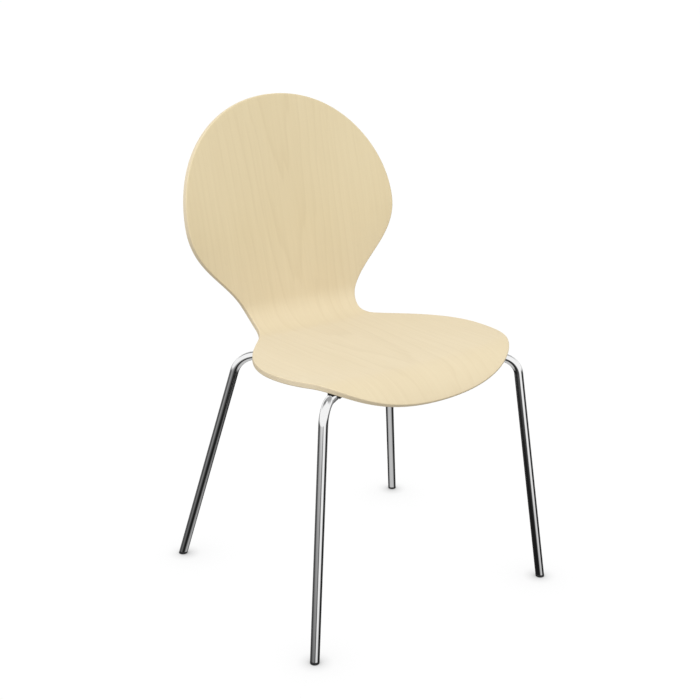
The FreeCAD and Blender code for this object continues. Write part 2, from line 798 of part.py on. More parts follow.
def exit_notch(side, hand):
    """The slot that one tube leaves the cap through, open at the rim."""
    name = f"{side}_{'left' if hand > 0 else 'right'}_notch"
    direction = leg_direction(side, hand)
    corner = hub_corner(side, hand)
    level = Vector(direction.x, direction.y, 0).normalize()
    bore = cylinder(
        f"{name}_bore", "Sizes.tube_diameter / 2 + Sizes.notch_clearance", "Sizes.cap_radius",
        along(corner, direction),
    )
    half = TUBE_RADIUS + size("notch_clearance")
    sideways = Vector(0, 0, 1).cross(level)
    slot = box(
        f"{name}_slot", "Sizes.cap_radius",
        "Sizes.tube_diameter + 2 * Sizes.notch_clearance", "Sizes.cap_radius",
        beside(corner - sideways * half, level),
    )
    return join(name, [bore, slot])


def add_cap():
    """A moulded cup that hides the plate, its screws and the middle of both tubes."""
    height = PAD_BOTTOM - CAP_BOTTOM
    outside = cylinder("cap_outside", "Sizes.cap_radius", f"{height}", upright(0, HUB_Y, CAP_BOTTOM))
    doc.recompute()
    rounded = doc.addObject("Part::Fillet", "cap_rounded")
    rounded.Base = outside
    radius = size("cap_edge_round")
    rounded.Edges = [
        (number, radius, radius)
        for number, edge in enumerate(outside.Shape.Edges, start=1)
        if edge.BoundBox.ZMax < CAP_BOTTOM + size("cap_wall") / 2
    ]
    hollow = cylinder(
        "cap_hollow", "Sizes.cap_radius - Sizes.cap_wall", f"{height}",
        upright(0, HUB_Y, CAP_FLOOR_TOP),
    )
    doc.recompute()
    inner = doc.addObject("Part::Fillet", "cap_hollow_rounded")
    inner.Base = hollow
    inner_radius = radius - size("cap_wall")
    inner.Edges = [
        (number, inner_radius, inner_radius)
        for number, edge in enumerate(hollow.Shape.Edges, start=1)
        if edge.BoundBox.ZMax < CAP_FLOOR_TOP + size("cap_wall") / 2
    ]
    notches = [exit_notch(side, hand) for side in LEG_ENDS for hand in (1, -1)]
    cup = cut("cap_cup", rounded, inner)
    notched = cut("cap_notched", cup, join("cap_notches", notches))
    clips = []
    for side in LEG_ENDS:
        core = tube_core(f"{side}_clip_core", side)
        wide = size("tube_diameter") + 2 * size("clip_wall")
        block = box(
            f"{side}_clip_block", "Sizes.clip_width", f"{wide}",
            f"{HUB_HEIGHT - CAP_FLOOR_TOP} + Sizes.clip_grip",
            upright(-size("clip_width") / 2, LEG_ENDS[side]["hub"].y - wide / 2, CAP_FLOOR_TOP),
        )
        clips.append(cut(f"{side}_clip", block, core))
    return keep(join("cap_with_clips", [notched] + clips), "cover_cap")


add_cap()

# ---------------------------------------------------------------- buffers


def add_buffer(side, hand, label):
    """A rubber saddle on one tube that carries the shell near its edge."""
    leg = LEG_ENDS[side]
    corner = leg["corner"] if hand > 0 else mirrored(leg["corner"])
    inward = leg_direction(side, hand) * -1
    middle = corner + inward * size("buffer_at")
    half_wide = TUBE_RADIUS + size("buffer_wall")
    sideways = Vector(0, 0, 1).cross(inward).normalize()
    up = inward.cross(sideways).normalize()
    start = middle - inward * size("buffer_length") / 2
    turn = Rotation(inward, sideways, up, "XZY")
    wide = "Sizes.tube_diameter + 2 * Sizes.buffer_wall"
    sleeve = cylinder(
        f"{label}_sleeve", "Sizes.tube_diameter / 2 + Sizes.buffer_wall", "Sizes.buffer_length",
        along(start, inward),
    )
    column = box(
        f"{label}_column", "Sizes.buffer_length", wide, "2 * Sizes.tube_diameter",
        Placement(start - sideways * half_wide, turn),
    )
    mouth = box(
        f"{label}_mouth", "Sizes.buffer_length", wide, "Sizes.tube_diameter",
        Placement(start - sideways * half_wide - up * (size("buffer_wrap") + 2 * TUBE_RADIUS), turn),
    )
    bar = cylinder(
        f"{label}_bar", "Sizes.tube_diameter / 2", "Sizes.buffer_length", along(start, inward)
    )
    saddle = join(f"{label}_saddle", [sleeve, column])
    gripping = cut(f"{label}_gripping", saddle, gather(f"{label}_tools", [mouth, bar]))
    return keep(cut(f"{label}_topped", gripping, above_seat), label)


for side in LEG_ENDS:
    for hand, word in ((1, "left"), (-1, "right")):
        add_buffer(side, hand, f"{side}_{word}_buffer")

# ---------------------------------------------------------------- writing the parts

doc.recompute()

for item in doc.Objects:
    if "Invalid" in item.State or "Error" in item.State:
        raise RuntimeError(f"{item.Label} failed: {item.State}")
for node in NODES:
    if node.Shape.isNull() or not node.Shape.isValid() or not node.Shape.Solids:
        raise RuntimeError(f"{node.Label} is not a valid solid")

os.makedirs("parts", exist_ok=True)
for node in NODES:
    node.Shape.exportStep(f"parts/{node.Label}.step")
    box_size = node.Shape.BoundBox
    print(
        f"{node.Label}: {len(node.Shape.Solids)} solid(s), {node.Shape.Volume:.0f} cubic mm,"
        f" z {box_size.ZMin:.1f} to {box_size.ZMax:.1f}"
    )
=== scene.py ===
# %% [markdown]
# # A stacking chair: one pressed sheet on two bent tubes
# The real chair is a sheet of nine veneers, glued and pressed in a warm mould, then cut to
# a round back, a narrow neck and a wide seat. Two chromed tubes carry it. This lesson
# works in another order, because a flat sheet is easier to cut: it cuts a flat blank,
# rounds its edge, slices it into plies and only then bends every point into the pressed
# shape.

# %% Load the measured model
import math

import bmesh
import bpy
from bmesh.types import BMEdge, BMVert
from mathutils import Matrix, Vector
from mathutils.geometry import interpolate_bezier


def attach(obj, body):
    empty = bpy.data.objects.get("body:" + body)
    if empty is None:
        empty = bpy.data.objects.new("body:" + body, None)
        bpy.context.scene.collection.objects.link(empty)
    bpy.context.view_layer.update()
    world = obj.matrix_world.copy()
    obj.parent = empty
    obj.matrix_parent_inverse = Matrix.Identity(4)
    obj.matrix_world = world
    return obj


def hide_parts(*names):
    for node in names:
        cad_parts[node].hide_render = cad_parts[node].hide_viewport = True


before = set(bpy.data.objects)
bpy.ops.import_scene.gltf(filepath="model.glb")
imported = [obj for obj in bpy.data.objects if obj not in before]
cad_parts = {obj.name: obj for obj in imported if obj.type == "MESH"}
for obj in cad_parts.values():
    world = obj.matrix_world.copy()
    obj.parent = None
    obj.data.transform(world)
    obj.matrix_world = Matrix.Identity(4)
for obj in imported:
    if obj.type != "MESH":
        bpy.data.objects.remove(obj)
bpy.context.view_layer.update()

print("nodes in the frame:", len(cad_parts))

# %% [markdown]
# ## The camera
# A long lens, a little above the seat, keeps the legs nearly parallel.  The camera is
# placed on a sphere around a point between seat and floor, which makes its angle easy to
# read and to change.

# %% Place the camera
VIEW_AZIMUTH = math.radians(-34.97)
VIEW_ELEVATION = math.radians(19.44)
VIEW_DISTANCE = 2.266
VIEW_TARGET = Vector((-0.0194, -0.0257, 0.4367))
LENS = 65.23


def direction_from(azimuth, elevation):
    """Unit vector from the chair towards a viewer: azimuth 0 is in front, along -Y."""
    level = math.cos(elevation)
    return Vector((math.sin(azimuth) * level, -math.cos(azimuth) * level, math.sin(elevation)))


def look_along(thing, direction):
    """Turn a camera or a light, which look down their own -Z, along a direction."""
    thing.rotation_mode = "QUATERNION"
    thing.rotation_quaternion = direction.to_track_quat("-Z", "Y")


towards_viewer = direction_from(VIEW_AZIMUTH, VIEW_ELEVATION)
camera = bpy.data.objects.new("camera", bpy.data.cameras.new("camera"))
camera.data.lens = LENS
camera.location = VIEW_TARGET + towards_viewer * VIEW_DISTANCE
look_along(camera, -towards_viewer)
bpy.context.collection.objects.link(camera)
bpy.context.scene.camera = camera
print("camera at", tuple(round(v, 3) for v in camera.location))

# %% [markdown]
# ## The shape of the pressed sheet
# Everything on the sheet is given in blank coordinates: how far across from the middle,
# how far along from the front edge, and how deep below the upper face.  One function
# turns those three numbers into a place on the chair.  The side profile is a lip, a
# straight seat, a bend and a straight back.  From side to side the sheet is dished.

# %% Sizes of the sheet, in metres and radians
FRONT_EDGE_HEIGHT = 0.416
LIP_ANGLE = math.radians(53.0)
LIP_LENGTH = 0.095
SEAT_ANGLE = math.radians(-2.5)
SEAT_RUN = 0.286
BEND_RADIUS = 0.064
BACK_ANGLE = math.radians(76.2)
BLANK_LENGTH = 0.845
PLY = 0.00107
PLY_COUNT = 9
THICKNESS = PLY * PLY_COUNT
SEAT_END = LIP_LENGTH + SEAT_RUN
BEND_LENGTH = BEND_RADIUS * (BACK_ANGLE - SEAT_ANGLE)
# places along the sheet, each with its radius from side to side
DISH_STATIONS = [
    (0.0, 1.8),
    (SEAT_END / 2, 3.8),
    (SEAT_END + BEND_LENGTH / 2, 2.2),
    (0.625, 0.98),
    (BLANK_LENGTH, 1.5),
]
print("thickness of the sheet:", round(THICKNESS * 1000, 2), "mm")

# %% Bend a point of the blank
def profile(run):
    """Side profile: y from the front edge, z, and the slope, `run` along the sheet."""
    pieces = [
        (LIP_LENGTH, LIP_ANGLE, SEAT_ANGLE),
        (SEAT_RUN, SEAT_ANGLE, SEAT_ANGLE),
        (BEND_LENGTH, SEAT_ANGLE, BACK_ANGLE),
    ]
    y = 0.0
    z = FRONT_EDGE_HEIGHT
    for length, start, end in pieces:
        part = min(run, length)
        angle = start + (end - start) * part / length
        if start == end:
            y += part * math.cos(start)
            z += part * math.sin(start)
        else:
            radius = length / (end - start)
            y += radius * (math.sin(angle) - math.sin(start))
            z += radius * (math.cos(start) - math.cos(angle))
        run -= part
        if run <= 0:
            return y, z, angle
    return y + run * math.cos(BACK_ANGLE), z + run * math.sin(BACK_ANGLE), BACK_ANGLE


def dish(run):
    """Half of one over the side to side radius, eased between the stations."""
    for (low, low_radius), (high, high_radius) in zip(DISH_STATIONS, DISH_STATIONS[1:]):
        if run <= high:
            share = max(run - low, 0.0) / (high - low)
            share = share * share * (3 - 2 * share)
            return 0.5 / low_radius + (0.5 / high_radius - 0.5 / low_radius) * share
    return 0.5 / DISH_STATIONS[-1][1]


BACK_TOP_Y = profile(BLANK_LENGTH)[0]
FRONT_Y = -(BACK_TOP_Y + THICKNESS * math.sin(BACK_ANGLE)) / 2


def pressed(across, run, depth):
    """Where a point of the flat blank lies once the sheet is pressed."""
    y, z, angle = profile(run)
    bow = dish(run)
    lift = bow * across * across - depth
    return Vector((
        across * (1 + 2 * bow * depth),
        FRONT_Y + y - lift * math.sin(angle),
        z + lift * math.cos(angle),
    ))


print("seat height at the lip's end:", round(profile(LIP_LENGTH)[1], 3))
print("top of the back:", round(profile(BLANK_LENGTH)[1], 3))

# %% [markdown]
# ## The outline of the blank
# Four Bezier curves draw one half: along the front and up to the widest part of the seat,
# in to the neck, out to the widest part of the back, and over the top.  Each pair of
# handles lies on one line, so the curves flow into each other.

# %% Draw the outline
SEAT_HALF, SEAT_AT = 0.2298, 0.192
NECK_HALF, NECK_AT = 0.115, 0.418
BACK_HALF, BACK_AT = 0.2250, 0.625
# how far the handles reach: across the blank at its two ends, and along it before and
# after each place between them
FRONT_REACH, TOP_REACH = 0.127, 0.136
SEAT_BEFORE, SEAT_AFTER = 0.146, 0.108
NECK_BEFORE, NECK_AFTER = 0.044, 0.089
BACK_BEFORE, BACK_AFTER = 0.097, 0.115
CURVE_STEPS = 56

HALF_OUTLINE = [
    [(0, 0), (FRONT_REACH, 0), (SEAT_HALF, SEAT_AT - SEAT_BEFORE), (SEAT_HALF, SEAT_AT)],
    [(SEAT_HALF, SEAT_AT), (SEAT_HALF, SEAT_AT + SEAT_AFTER),
     (NECK_HALF, NECK_AT - NECK_BEFORE), (NECK_HALF, NECK_AT)],
    [(NECK_HALF, NECK_AT), (NECK_HALF, NECK_AT + NECK_AFTER),
     (BACK_HALF, BACK_AT - BACK_BEFORE), (BACK_HALF, BACK_AT)],
    [(BACK_HALF, BACK_AT), (BACK_HALF, BACK_AT + BACK_AFTER),
     (TOP_REACH, BLANK_LENGTH), (0, BLANK_LENGTH)],
]


def outline_points():
    """The blank's rim as flat points, anticlockwise from the middle of the front edge."""
    half = []
    for poles in HALF_OUTLINE:
        corners = [Vector((x, run, 0)) for x, run in poles]
        half += interpolate_bezier(*corners, CURVE_STEPS)[:-1]
    top = Vector((0, BLANK_LENGTH, 0))
    other = [Vector((-point.x, point.y, 0)) for point in reversed(half[1:])]
    return half + [top] + other


RIM = outline_points()
print("points on the rim:", len(RIM))

# %% [markdown]
# ## Tools for meshes
# A bmesh operator returns a mixed list of what it made, so the first helpers sort such a
# list, extrude faces, round edges and cut.  The last one turns a finished bmesh into an
# object, says which body it rides on, gives it its finishes and hides the measured node
# it stands for.

# %% Helpers that sort, extrude, round and cut
ON_PLANE = 1e-7
SAME_POINT = 1e-6
SHARP_ANGLE = math.radians(38)


def only(kind, items):
    """The items of one kind out of a mixed list of vertices, edges and faces."""
    return [item for item in items if isinstance(item, kind)]


def everything(bm):
    """All vertices, edges and faces, as the cutting operators want them."""
    return bm.verts[:] + bm.edges[:] + bm.faces[:]


def draw_faces(bm, faces, vector):
    """Extrude faces along a vector."""
    grown = bmesh.ops.extrude_face_region(bm, geom=faces)
    bmesh.ops.translate(bm, vec=vector, verts=only(BMVert, grown["geom"]))


def round_edges(bm, edges, radius, segments, clamp=False):
    """Bevel edges to a round."""
    bmesh.ops.bevel(
        bm, geom=edges, offset=radius, offset_type="OFFSET", segments=segments,
        profile=0.5, affect="EDGES", material=-1, clamp_overlap=clamp,
    )


def slice_level(bm, height, keep_below):
    """Cut a closed mesh at one height, keep one side and close it again."""
    cut = bmesh.ops.bisect_plane(
        bm, geom=everything(bm), dist=ON_PLANE, plane_co=(0, 0, height), plane_no=(0, 0, 1),
        clear_outer=keep_below, clear_inner=not keep_below,
    )
    bmesh.ops.holes_fill(bm, edges=only(BMEdge, cut["geom_cut"]), sides=0)


def lattice(bm, axis, low, high, spacing):
    """Score the mesh with evenly spaced cuts across one axis."""
    count = round((high - low) / spacing)
    normal = Vector((0, 0, 0))
    normal[axis] = 1
    for number in range(1, count):
        place = normal * (low + (high - low) * number / count)
        bmesh.ops.bisect_plane(
            bm, geom=everything(bm), dist=SAME_POINT, plane_co=place, plane_no=normal
        )


print("edges that turn by more than", round(math.degrees(SHARP_ANGLE)), "degrees stay sharp")

# %% Hand a piece over
def finish_piece(bm, name, materials, node):
    """Turn a bmesh into an object that rides on the chair and stands for a node."""
    bmesh.ops.recalc_face_normals(bm, faces=bm.faces[:])
    for face in bm.faces:
        face.smooth = True
    for edge in bm.edges:
        if len(edge.link_faces) == 2 and edge.calc_face_angle() > SHARP_ANGLE:
            edge.smooth = False
    mesh = bpy.data.meshes.new(name)
    bm.to_mesh(mesh)
    bm.free()
    for material in materials:
        mesh.materials.append(material)
    piece = bpy.data.objects.new(name, mesh)
    bpy.context.collection.objects.link(piece)
    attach(piece, "root")
    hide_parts(node)
    print(f"{name}: {len(mesh.polygons)} faces")
    return piece


# %% [markdown]
# ## Cutting a ply
# A filled circle with as many points as the rim is the flat blank, once its points are
# moved onto the outline.  It is extruded to the full thickness and its two rim loops are
# bevelled, as a cutter would round them.  Two level cuts keep only one ply.  Then a
# lattice of cuts gives the blank enough points to bend.  Last, the flat place of every
# point is stored as a UV map, so that the grain follows the bend, and its depth as an
# attribute, for the layers that show along the edge.

# %% Cut, round and press a ply
EDGE_ROUND = 0.0019
EDGE_SEGMENTS = 6
LEVEL_EDGE = 1e-9
# a face whose normal is more upright than this shows the veneer, any other the cut edge
FLAT_ENOUGH = 0.5


def ply_mesh(first, last, spacing):
    """The pressed mesh of the plies from number `first` to number `last`."""
    bm = bmesh.new()
    bmesh.ops.create_circle(bm, cap_ends=True, segments=len(RIM), radius=1.0)
    bm.verts.ensure_lookup_table()
    for vert, place in zip(bm.verts, RIM):
        vert.co = place
    draw_faces(bm, bm.faces[:], (0, 0, -THICKNESS))
    bmesh.ops.recalc_face_normals(bm, faces=bm.faces[:])
    rims = [
        edge for edge in bm.edges
        if abs(edge.verts[0].co.z - edge.verts[1].co.z) < LEVEL_EDGE
    ]
    round_edges(bm, rims, EDGE_ROUND, EDGE_SEGMENTS)
    if first > 0:
        slice_level(bm, -first * PLY, keep_below=True)
    if last < PLY_COUNT:
        slice_level(bm, -last * PLY, keep_below=False)
    lattice(bm, 1, 0.0, BLANK_LENGTH, spacing)
    lattice(bm, 0, -SEAT_HALF, SEAT_HALF, spacing)
    blank = bm.loops.layers.uv.new("blank")
    deep = bm.verts.layers.float.new("depth")
    for face in bm.faces:
        for loop in face.loops:
            loop[blank].uv = (loop.vert.co.x, loop.vert.co.y)
        face.material_index = 0 if abs(face.normal.z) > FLAT_ENOUGH else 1
    for vert in bm.verts:
        flat = vert.co.copy()
        vert[deep] = -flat.z / PLY
        vert.co = pressed(flat.x, flat.y, -flat.z)
    return bm


print("edge rounded to", round(EDGE_ROUND * 1000, 1), "mm in", EDGE_SEGMENTS, "steps")

# %% [markdown]
# ## Finishes
# Each finish is a small tree of nodes, so a few helpers keep the code short: one starts a
# material with its main shader, and the others add a node, set its values and connect its
# inputs.  A wood finish reads the blank map, because the grain has to bend with the sheet.

# %% Start a finish and add a node
def start_finish(name, **constants):
    """A new material with a Principled shader; constants go on the shader's own sockets."""
    finish = bpy.data.materials.new(name)
    finish.use_nodes = True
    shader = finish.node_tree.nodes["Principled BSDF"]
    for socket, value in constants.items():
        shader.inputs[socket.replace("_", " ")].default_value = value
    return finish, shader


def add_node(finish, kind, inputs=None, **settings):
    """Add a node; an input is a value, or an output socket to connect."""
    tree = finish.node_tree
    made = tree.nodes.new(kind)
    for setting, value in settings.items():
        setattr(made, setting, value)
    for socket, value in (inputs or {}).items():
        if isinstance(value, bpy.types.NodeSocket):
            tree.links.new(value, made.inputs[socket])
        else:
            made.inputs[socket].default_value = value
    return made


def connect(finish, output, shader, socket):
    """Join an output to one socket of the shader."""
    finish.node_tree.links.new(output, shader.inputs[socket])


print("finishes can be started")

# %% Numbers and colours
# the Mix node's sockets once it mixes colours, which are found by number
MIX_FACTOR, MIX_FIRST, MIX_SECOND, MIX_RESULT = 0, 6, 7, 2


def add_ramp(finish, factor, stops, interpolation="LINEAR"):
    """A colour ramp from (place, colour) stops; a plain number is a grey."""
    ramp = add_node(finish, "ShaderNodeValToRGB", {"Fac": factor})
    ramp.color_ramp.interpolation = interpolation
    elements = ramp.color_ramp.elements
    while len(elements) < len(stops):
        elements.new(1.0)
    for element, (place, colour) in zip(elements, stops):
        element.position = place
        if isinstance(colour, (int, float)):
            colour = (colour, colour, colour)
        element.color = (*colour, 1.0)
    return ramp.outputs["Color"]


def add_range(finish, value, start, end, low=0.0, high=1.0, easing="LINEAR"):
    """A number taken from the range `start` to `end` to the range `low` to `high`."""
    ranged = add_node(
        finish, "ShaderNodeMapRange",
        {"Value": value, "From Min": start, "From Max": end, "To Min": low, "To Max": high},
        interpolation_type=easing,
    )
    return ranged.outputs["Result"]


def add_maths(finish, operation, first, second=0.0, third=0.0):
    """One arithmetic step on two or three numbers."""
    step = add_node(
        finish, "ShaderNodeMath", {0: first, 1: second, 2: third}, operation=operation
    )
    return step.outputs["Value"]


def mix_colours(finish, factor, first, second, blend="MIX"):
    """Two colours mixed by a factor."""
    mixed = add_node(
        finish, "ShaderNodeMix", {MIX_FACTOR: factor, MIX_FIRST: first, MIX_SECOND: second},
        data_type="RGBA", blend_type=blend,
    )
    return mixed.outputs[MIX_RESULT]


print("numbers and colours can be mixed")

# %% Patterns and relief
def add_noise(finish, vector, scale, detail=3.0, roughness=0.55):
    """Noise between 0 and 1, read at a vector."""
    noise = add_node(
        finish, "ShaderNodeTexNoise",
        {"Vector": vector, "Scale": scale, "Detail": detail, "Roughness": roughness},
    )
    return noise.outputs["Fac"]


def add_stretch(finish, vector, scale, place=(0, 0, 0)):
    """The same vector, moved and then stretched along its axes."""
    mapping = add_node(
        finish, "ShaderNodeMapping", {"Vector": vector, "Scale": scale, "Location": place}
    )
    return mapping.outputs["Vector"]


def add_bump(finish, shader, height, strength, distance):
    """Small relief on the surface, from a height between 0 and 1."""
    bump = add_node(
        finish, "ShaderNodeBump",
        {"Height": height, "Strength": strength, "Distance": distance},
    )
    connect(finish, bump.outputs["Normal"], shader, "Normal")


print("materials in the file so far:", len(bpy.data.materials))

# %% [markdown]
# ## Maple veneer
# A sliced maple veneer shows growth rings as tall nested arches in its middle and nearly
# straight lines at its sides.  That figure is what a cut through a slightly tapered log
# looks like, so the rings here are distances from a pith line that slopes under the
# sheet.  Fine fibres and short flecks run the same way, and a thin lacquer lies on top.

# %% Values of the veneer
RINGS_PER_METRE = 85.0
RING_CONTRAST = 0.20
RING_TONES = [(0.0, 0.1), (0.6, 0.3), (0.9, 1.0), (1.0, 0.1)]
# the rings stand out in the middle of the sheet, and less towards its sides
MIDDLE_ENDS, SIDE_BEGINS, SIDE_SHARE = 0.03, 0.14, 0.45
# how often each pattern repeats in a metre, across and along the grain
WANDER_SCALE = (4.0, 1.5, 1.0)
RIPPLE_SCALE = (60.0, 4.0, 1.0)
STREAK_SCALE = (170.0, 3.0, 1.0)
FIBRE_SCALE = (620.0, 9.0, 1.0)
FLECK_SCALE = (900.0, 70.0, 1.0)
CLOUD_SCALE = (7.0, 2.2, 1.0)
# how far the log wanders sideways, in metres, and how far its rings ripple, in rings
WANDER, RIPPLE = 0.06, 0.9
STREAK_SHARE, FIBRE_SHARE, FIGURE_OFFSET = 0.30, 0.15, -0.13
CLOUD_STOPS = [(0.35, 0.0), (0.7, 1.0)]
FLECK_STOPS = [(0.66, 0.0), (0.78, 0.16)]
FLECK_TONE = 0.8
LACQUER_FROM, LACQUER_TO = 0.42, 0.55
RING_RELIEF = -0.4
# painted shade: the back is tinted a little yellower towards its top, for the difference in light
# between the seat and the back
PAINTED_SHADE_FROM, PAINTED_SHADE_TO = 0.44, 0.60
PAINTED_SHADE_TINT = (1.0, 0.995, 0.94, 1)
print("a growth ring every", round(1000 / RINGS_PER_METRE, 1), "mm, seen square on")

# %% Grow the rings and lay the grain
def ring_tones(finish, across, along, wander, ripple, pith):
    """Tone of the growth rings where the sheet cuts the log."""
    pith_depth, pith_slope = pith
    aside = add_maths(finish, "MULTIPLY_ADD", wander, WANDER, -WANDER / 2)
    aside = add_maths(finish, "ADD", across, aside)
    depth = add_maths(finish, "MULTIPLY_ADD", along, pith_slope, pith_depth)
    aside_squared = add_maths(finish, "MULTIPLY", aside, aside)
    depth_squared = add_maths(finish, "MULTIPLY", depth, depth)
    distance = add_maths(
        finish, "SQRT", add_maths(finish, "ADD", aside_squared, depth_squared)
    )
    rings = add_maths(finish, "MULTIPLY", ripple, RIPPLE)
    rings = add_maths(finish, "MULTIPLY_ADD", distance, RINGS_PER_METRE, rings)
    return add_ramp(finish, add_maths(finish, "FRACT", rings), RING_TONES, "EASE")


def veneer_finish(name, pith, shift, tones):
    """Pale lacquered maple, its figure set by the depth and slope of the log's pith."""
    finish, shader = start_finish(
        name, IOR=1.5, Coat_Weight=0.12, Coat_Roughness=0.35, Coat_IOR=1.45,
    )
    blank = add_node(finish, "ShaderNodeUVMap", uv_map="blank").outputs["UV"]
    wander, ripple, streak, fibre, fleck, cloud = (
        add_noise(finish, add_stretch(finish, blank, scale, shift), 1.0, detail)
        for scale, detail in (
            (WANDER_SCALE, 3.0), (RIPPLE_SCALE, 2.0), (STREAK_SCALE, 2.0),
            (FIBRE_SCALE, 3.0), (FLECK_SCALE, 2.0), (CLOUD_SCALE, 3.0),
        )
    )
    split = add_node(finish, "ShaderNodeSeparateXYZ", {"Vector": blank})
    across, along = split.outputs["X"], split.outputs["Y"]
    ring_tone = ring_tones(finish, across, along, wander, ripple, pith)
    light, mid, deep = tones
    body = mix_colours(finish, add_ramp(finish, cloud, CLOUD_STOPS), (*light, 1), (*mid, 1))
    contrast = add_range(
        finish, add_maths(finish, "ABSOLUTE", across), MIDDLE_ENDS, SIDE_BEGINS,
        RING_CONTRAST, RING_CONTRAST * SIDE_SHARE,
    )
    figure = add_maths(finish, "MULTIPLY", ring_tone, contrast)
    figure = add_maths(finish, "MULTIPLY_ADD", streak, STREAK_SHARE, figure)
    figure = add_maths(finish, "MULTIPLY_ADD", fibre, FIBRE_SHARE, figure)
    figure = add_maths(finish, "ADD", figure, FIGURE_OFFSET)
    body = mix_colours(finish, figure, body, (*deep, 1))
    # painted shade: the back turns a little yellower towards its top
    painted_shade = add_range(finish, along, PAINTED_SHADE_FROM, PAINTED_SHADE_TO)
    body = mix_colours(finish, painted_shade, body, PAINTED_SHADE_TINT, "MULTIPLY")
    darkest = tuple(tone * FLECK_TONE for tone in deep)
    body = mix_colours(finish, add_ramp(finish, fleck, FLECK_STOPS), body, (*darkest, 1))
    connect(finish, body, shader, "Base Color")
    gloss = add_range(finish, fibre, 0.3, 0.7, LACQUER_FROM, LACQUER_TO)
    connect(finish, gloss, shader, "Roughness")
    relief = add_maths(finish, "MULTIPLY_ADD", ring_tone, RING_RELIEF, fibre)
    add_bump(finish, shader, relief, strength=0.10, distance=0.0004)
    return finish


# light, middle and deep wood
FACE_TONES = ((0.772, 0.646, 0.424), (0.748, 0.620, 0.398), (0.620, 0.488, 0.288))
FACE_PITH, REVERSE_PITH = (0.118, -0.060), (0.060, 0.105)
REVERSE_SHIFT = (2.3, 4.1, 0.0)
face_maple = veneer_finish("face_maple", FACE_PITH, (0.0, 0.0, 0.0), FACE_TONES)
reverse_maple = veneer_finish("reverse_maple", REVERSE_PITH, REVERSE_SHIFT, FACE_TONES)
print("veneers:", face_maple.name, reverse_maple.name)

# %% [markdown]
# ## The sheet's cut edge
# Along the rim the plies show as bands: every other one is cut across its fibres and
# drinks more lacquer, so it is darker and speckled.  The glue between them is a thin
# dark line.  The depth attribute counts plies from the upper face, so its whole numbers
# are the glue lines.

# %% The edge of the sheet
LONG_GRAIN = (0.800, 0.675, 0.470)
END_GRAIN = (0.730, 0.600, 0.395)
GLUE = (0.500, 0.385, 0.230)
SPECKLE_SCALE, WAVE_SCALE = 900.0, 60.0
# how far a glue line waves, in plies, and how strongly it shows
WAVE, LINE_SHARE = 0.16, 0.40
END_GRAIN_STOPS = [(0.46, 0.0), (0.5, 1.0), (0.96, 1.0), (1.0, 0.0)]
LINE_STOPS = [(0.0, 1.0), (0.07, 0.0), (0.93, 0.0), (1.0, 1.0)]
SPOT_STOPS = [(0.45, 0.0), (0.75, 0.22)]


def edge_finish(name):
    """Banded end grain that follows the depth attribute."""
    finish, shader = start_finish(
        name, IOR=1.5, Coat_Weight=0.10, Coat_Roughness=0.4, Coat_IOR=1.45,
    )
    counted = add_node(finish, "ShaderNodeAttribute", attribute_name="depth").outputs["Fac"]
    place = add_node(finish, "ShaderNodeTexCoord").outputs["Object"]
    speckle = add_noise(finish, place, SPECKLE_SCALE, 2.0)
    waviness = add_noise(finish, place, WAVE_SCALE, 2.0)
    waviness = add_maths(finish, "MULTIPLY_ADD", waviness, WAVE, -WAVE / 2)
    counted = add_maths(finish, "ADD", counted, waviness)
    turn = add_maths(finish, "FRACT", add_maths(finish, "MULTIPLY", counted, 0.5))
    cross = add_ramp(finish, turn, END_GRAIN_STOPS)
    line = add_ramp(finish, add_maths(finish, "FRACT", counted), LINE_STOPS, "EASE")
    line = add_maths(finish, "MULTIPLY", line, LINE_SHARE)
    spots = add_maths(finish, "MULTIPLY", add_ramp(finish, speckle, SPOT_STOPS), cross)
    band = mix_colours(finish, cross, (*LONG_GRAIN, 1), (*END_GRAIN, 1))
    for darkening in (spots, line):
        band = mix_colours(finish, darkening, band, (*GLUE, 1))
    connect(finish, band, shader, "Base Color")
    connect(finish, add_range(finish, speckle, 0.3, 0.7, 0.5, 0.68), shader, "Roughness")
    add_bump(finish, shader, speckle, strength=0.15, distance=0.0003)
    return finish


edge_maple = edge_finish("edge_maple")
print("edge:", edge_maple.name)

# %% [markdown]
# ## The five layers
# Nine plies are more than the eye can tell apart, so the five inner ones are one layer.
# The two veneers show over their whole face and get a finer lattice than the layers that
# only show their edge.  The tubes mirror nothing but the room, because the sheet, so
# close above them, would hide the room's bright and dark panels.

# %% Press the five layers
# each node with its first ply, the ply after its last, its slot and its finish
LAYERS = [
    ("face_veneer", 0, 1, "veneer", face_maple),
    ("upper_cross_ply", 1, 2, "cross_ply", reverse_maple),
    ("core_plies", 2, 7, "core_ply", reverse_maple),
    ("lower_cross_ply", 7, 8, "cross_ply", reverse_maple),
    ("reverse_veneer", 8, 9, "veneer", reverse_maple),
]
VISIBLE_STEP = 0.008
HIDDEN_STEP = 0.012
for node, first, last, slot_name, finish in LAYERS:
    spacing = VISIBLE_STEP if slot_name == "veneer" else HIDDEN_STEP
    layer = finish_piece(
        ply_mesh(first, last, spacing), f"pressed_{node}", [finish, edge_maple],
        node=node,
    )
    layer.visible_glossy = False

# %% [markdown]
# ## The bent tubes
# Each leg frame is one tube from foot to foot.  A ring is drawn out along the straight
# runs and spun round each bend's centre, which is what a tube bender does.  Half of the
# frame is made and mirrored, the wall gets its thickness inwards, and both ends are cut
# level above the glides.

# %% Where the tubes run, in metres
TUBE = 0.016
TUBE_WALL = 0.0015
# from the front edge back to the plate's middle
HUB_RUN = 0.240
HUB_Y = FRONT_Y + HUB_RUN
PAD_THICKNESS = 0.012
PLATE_THICKNESS = 0.003
GLIDE_HEIGHT = 0.005


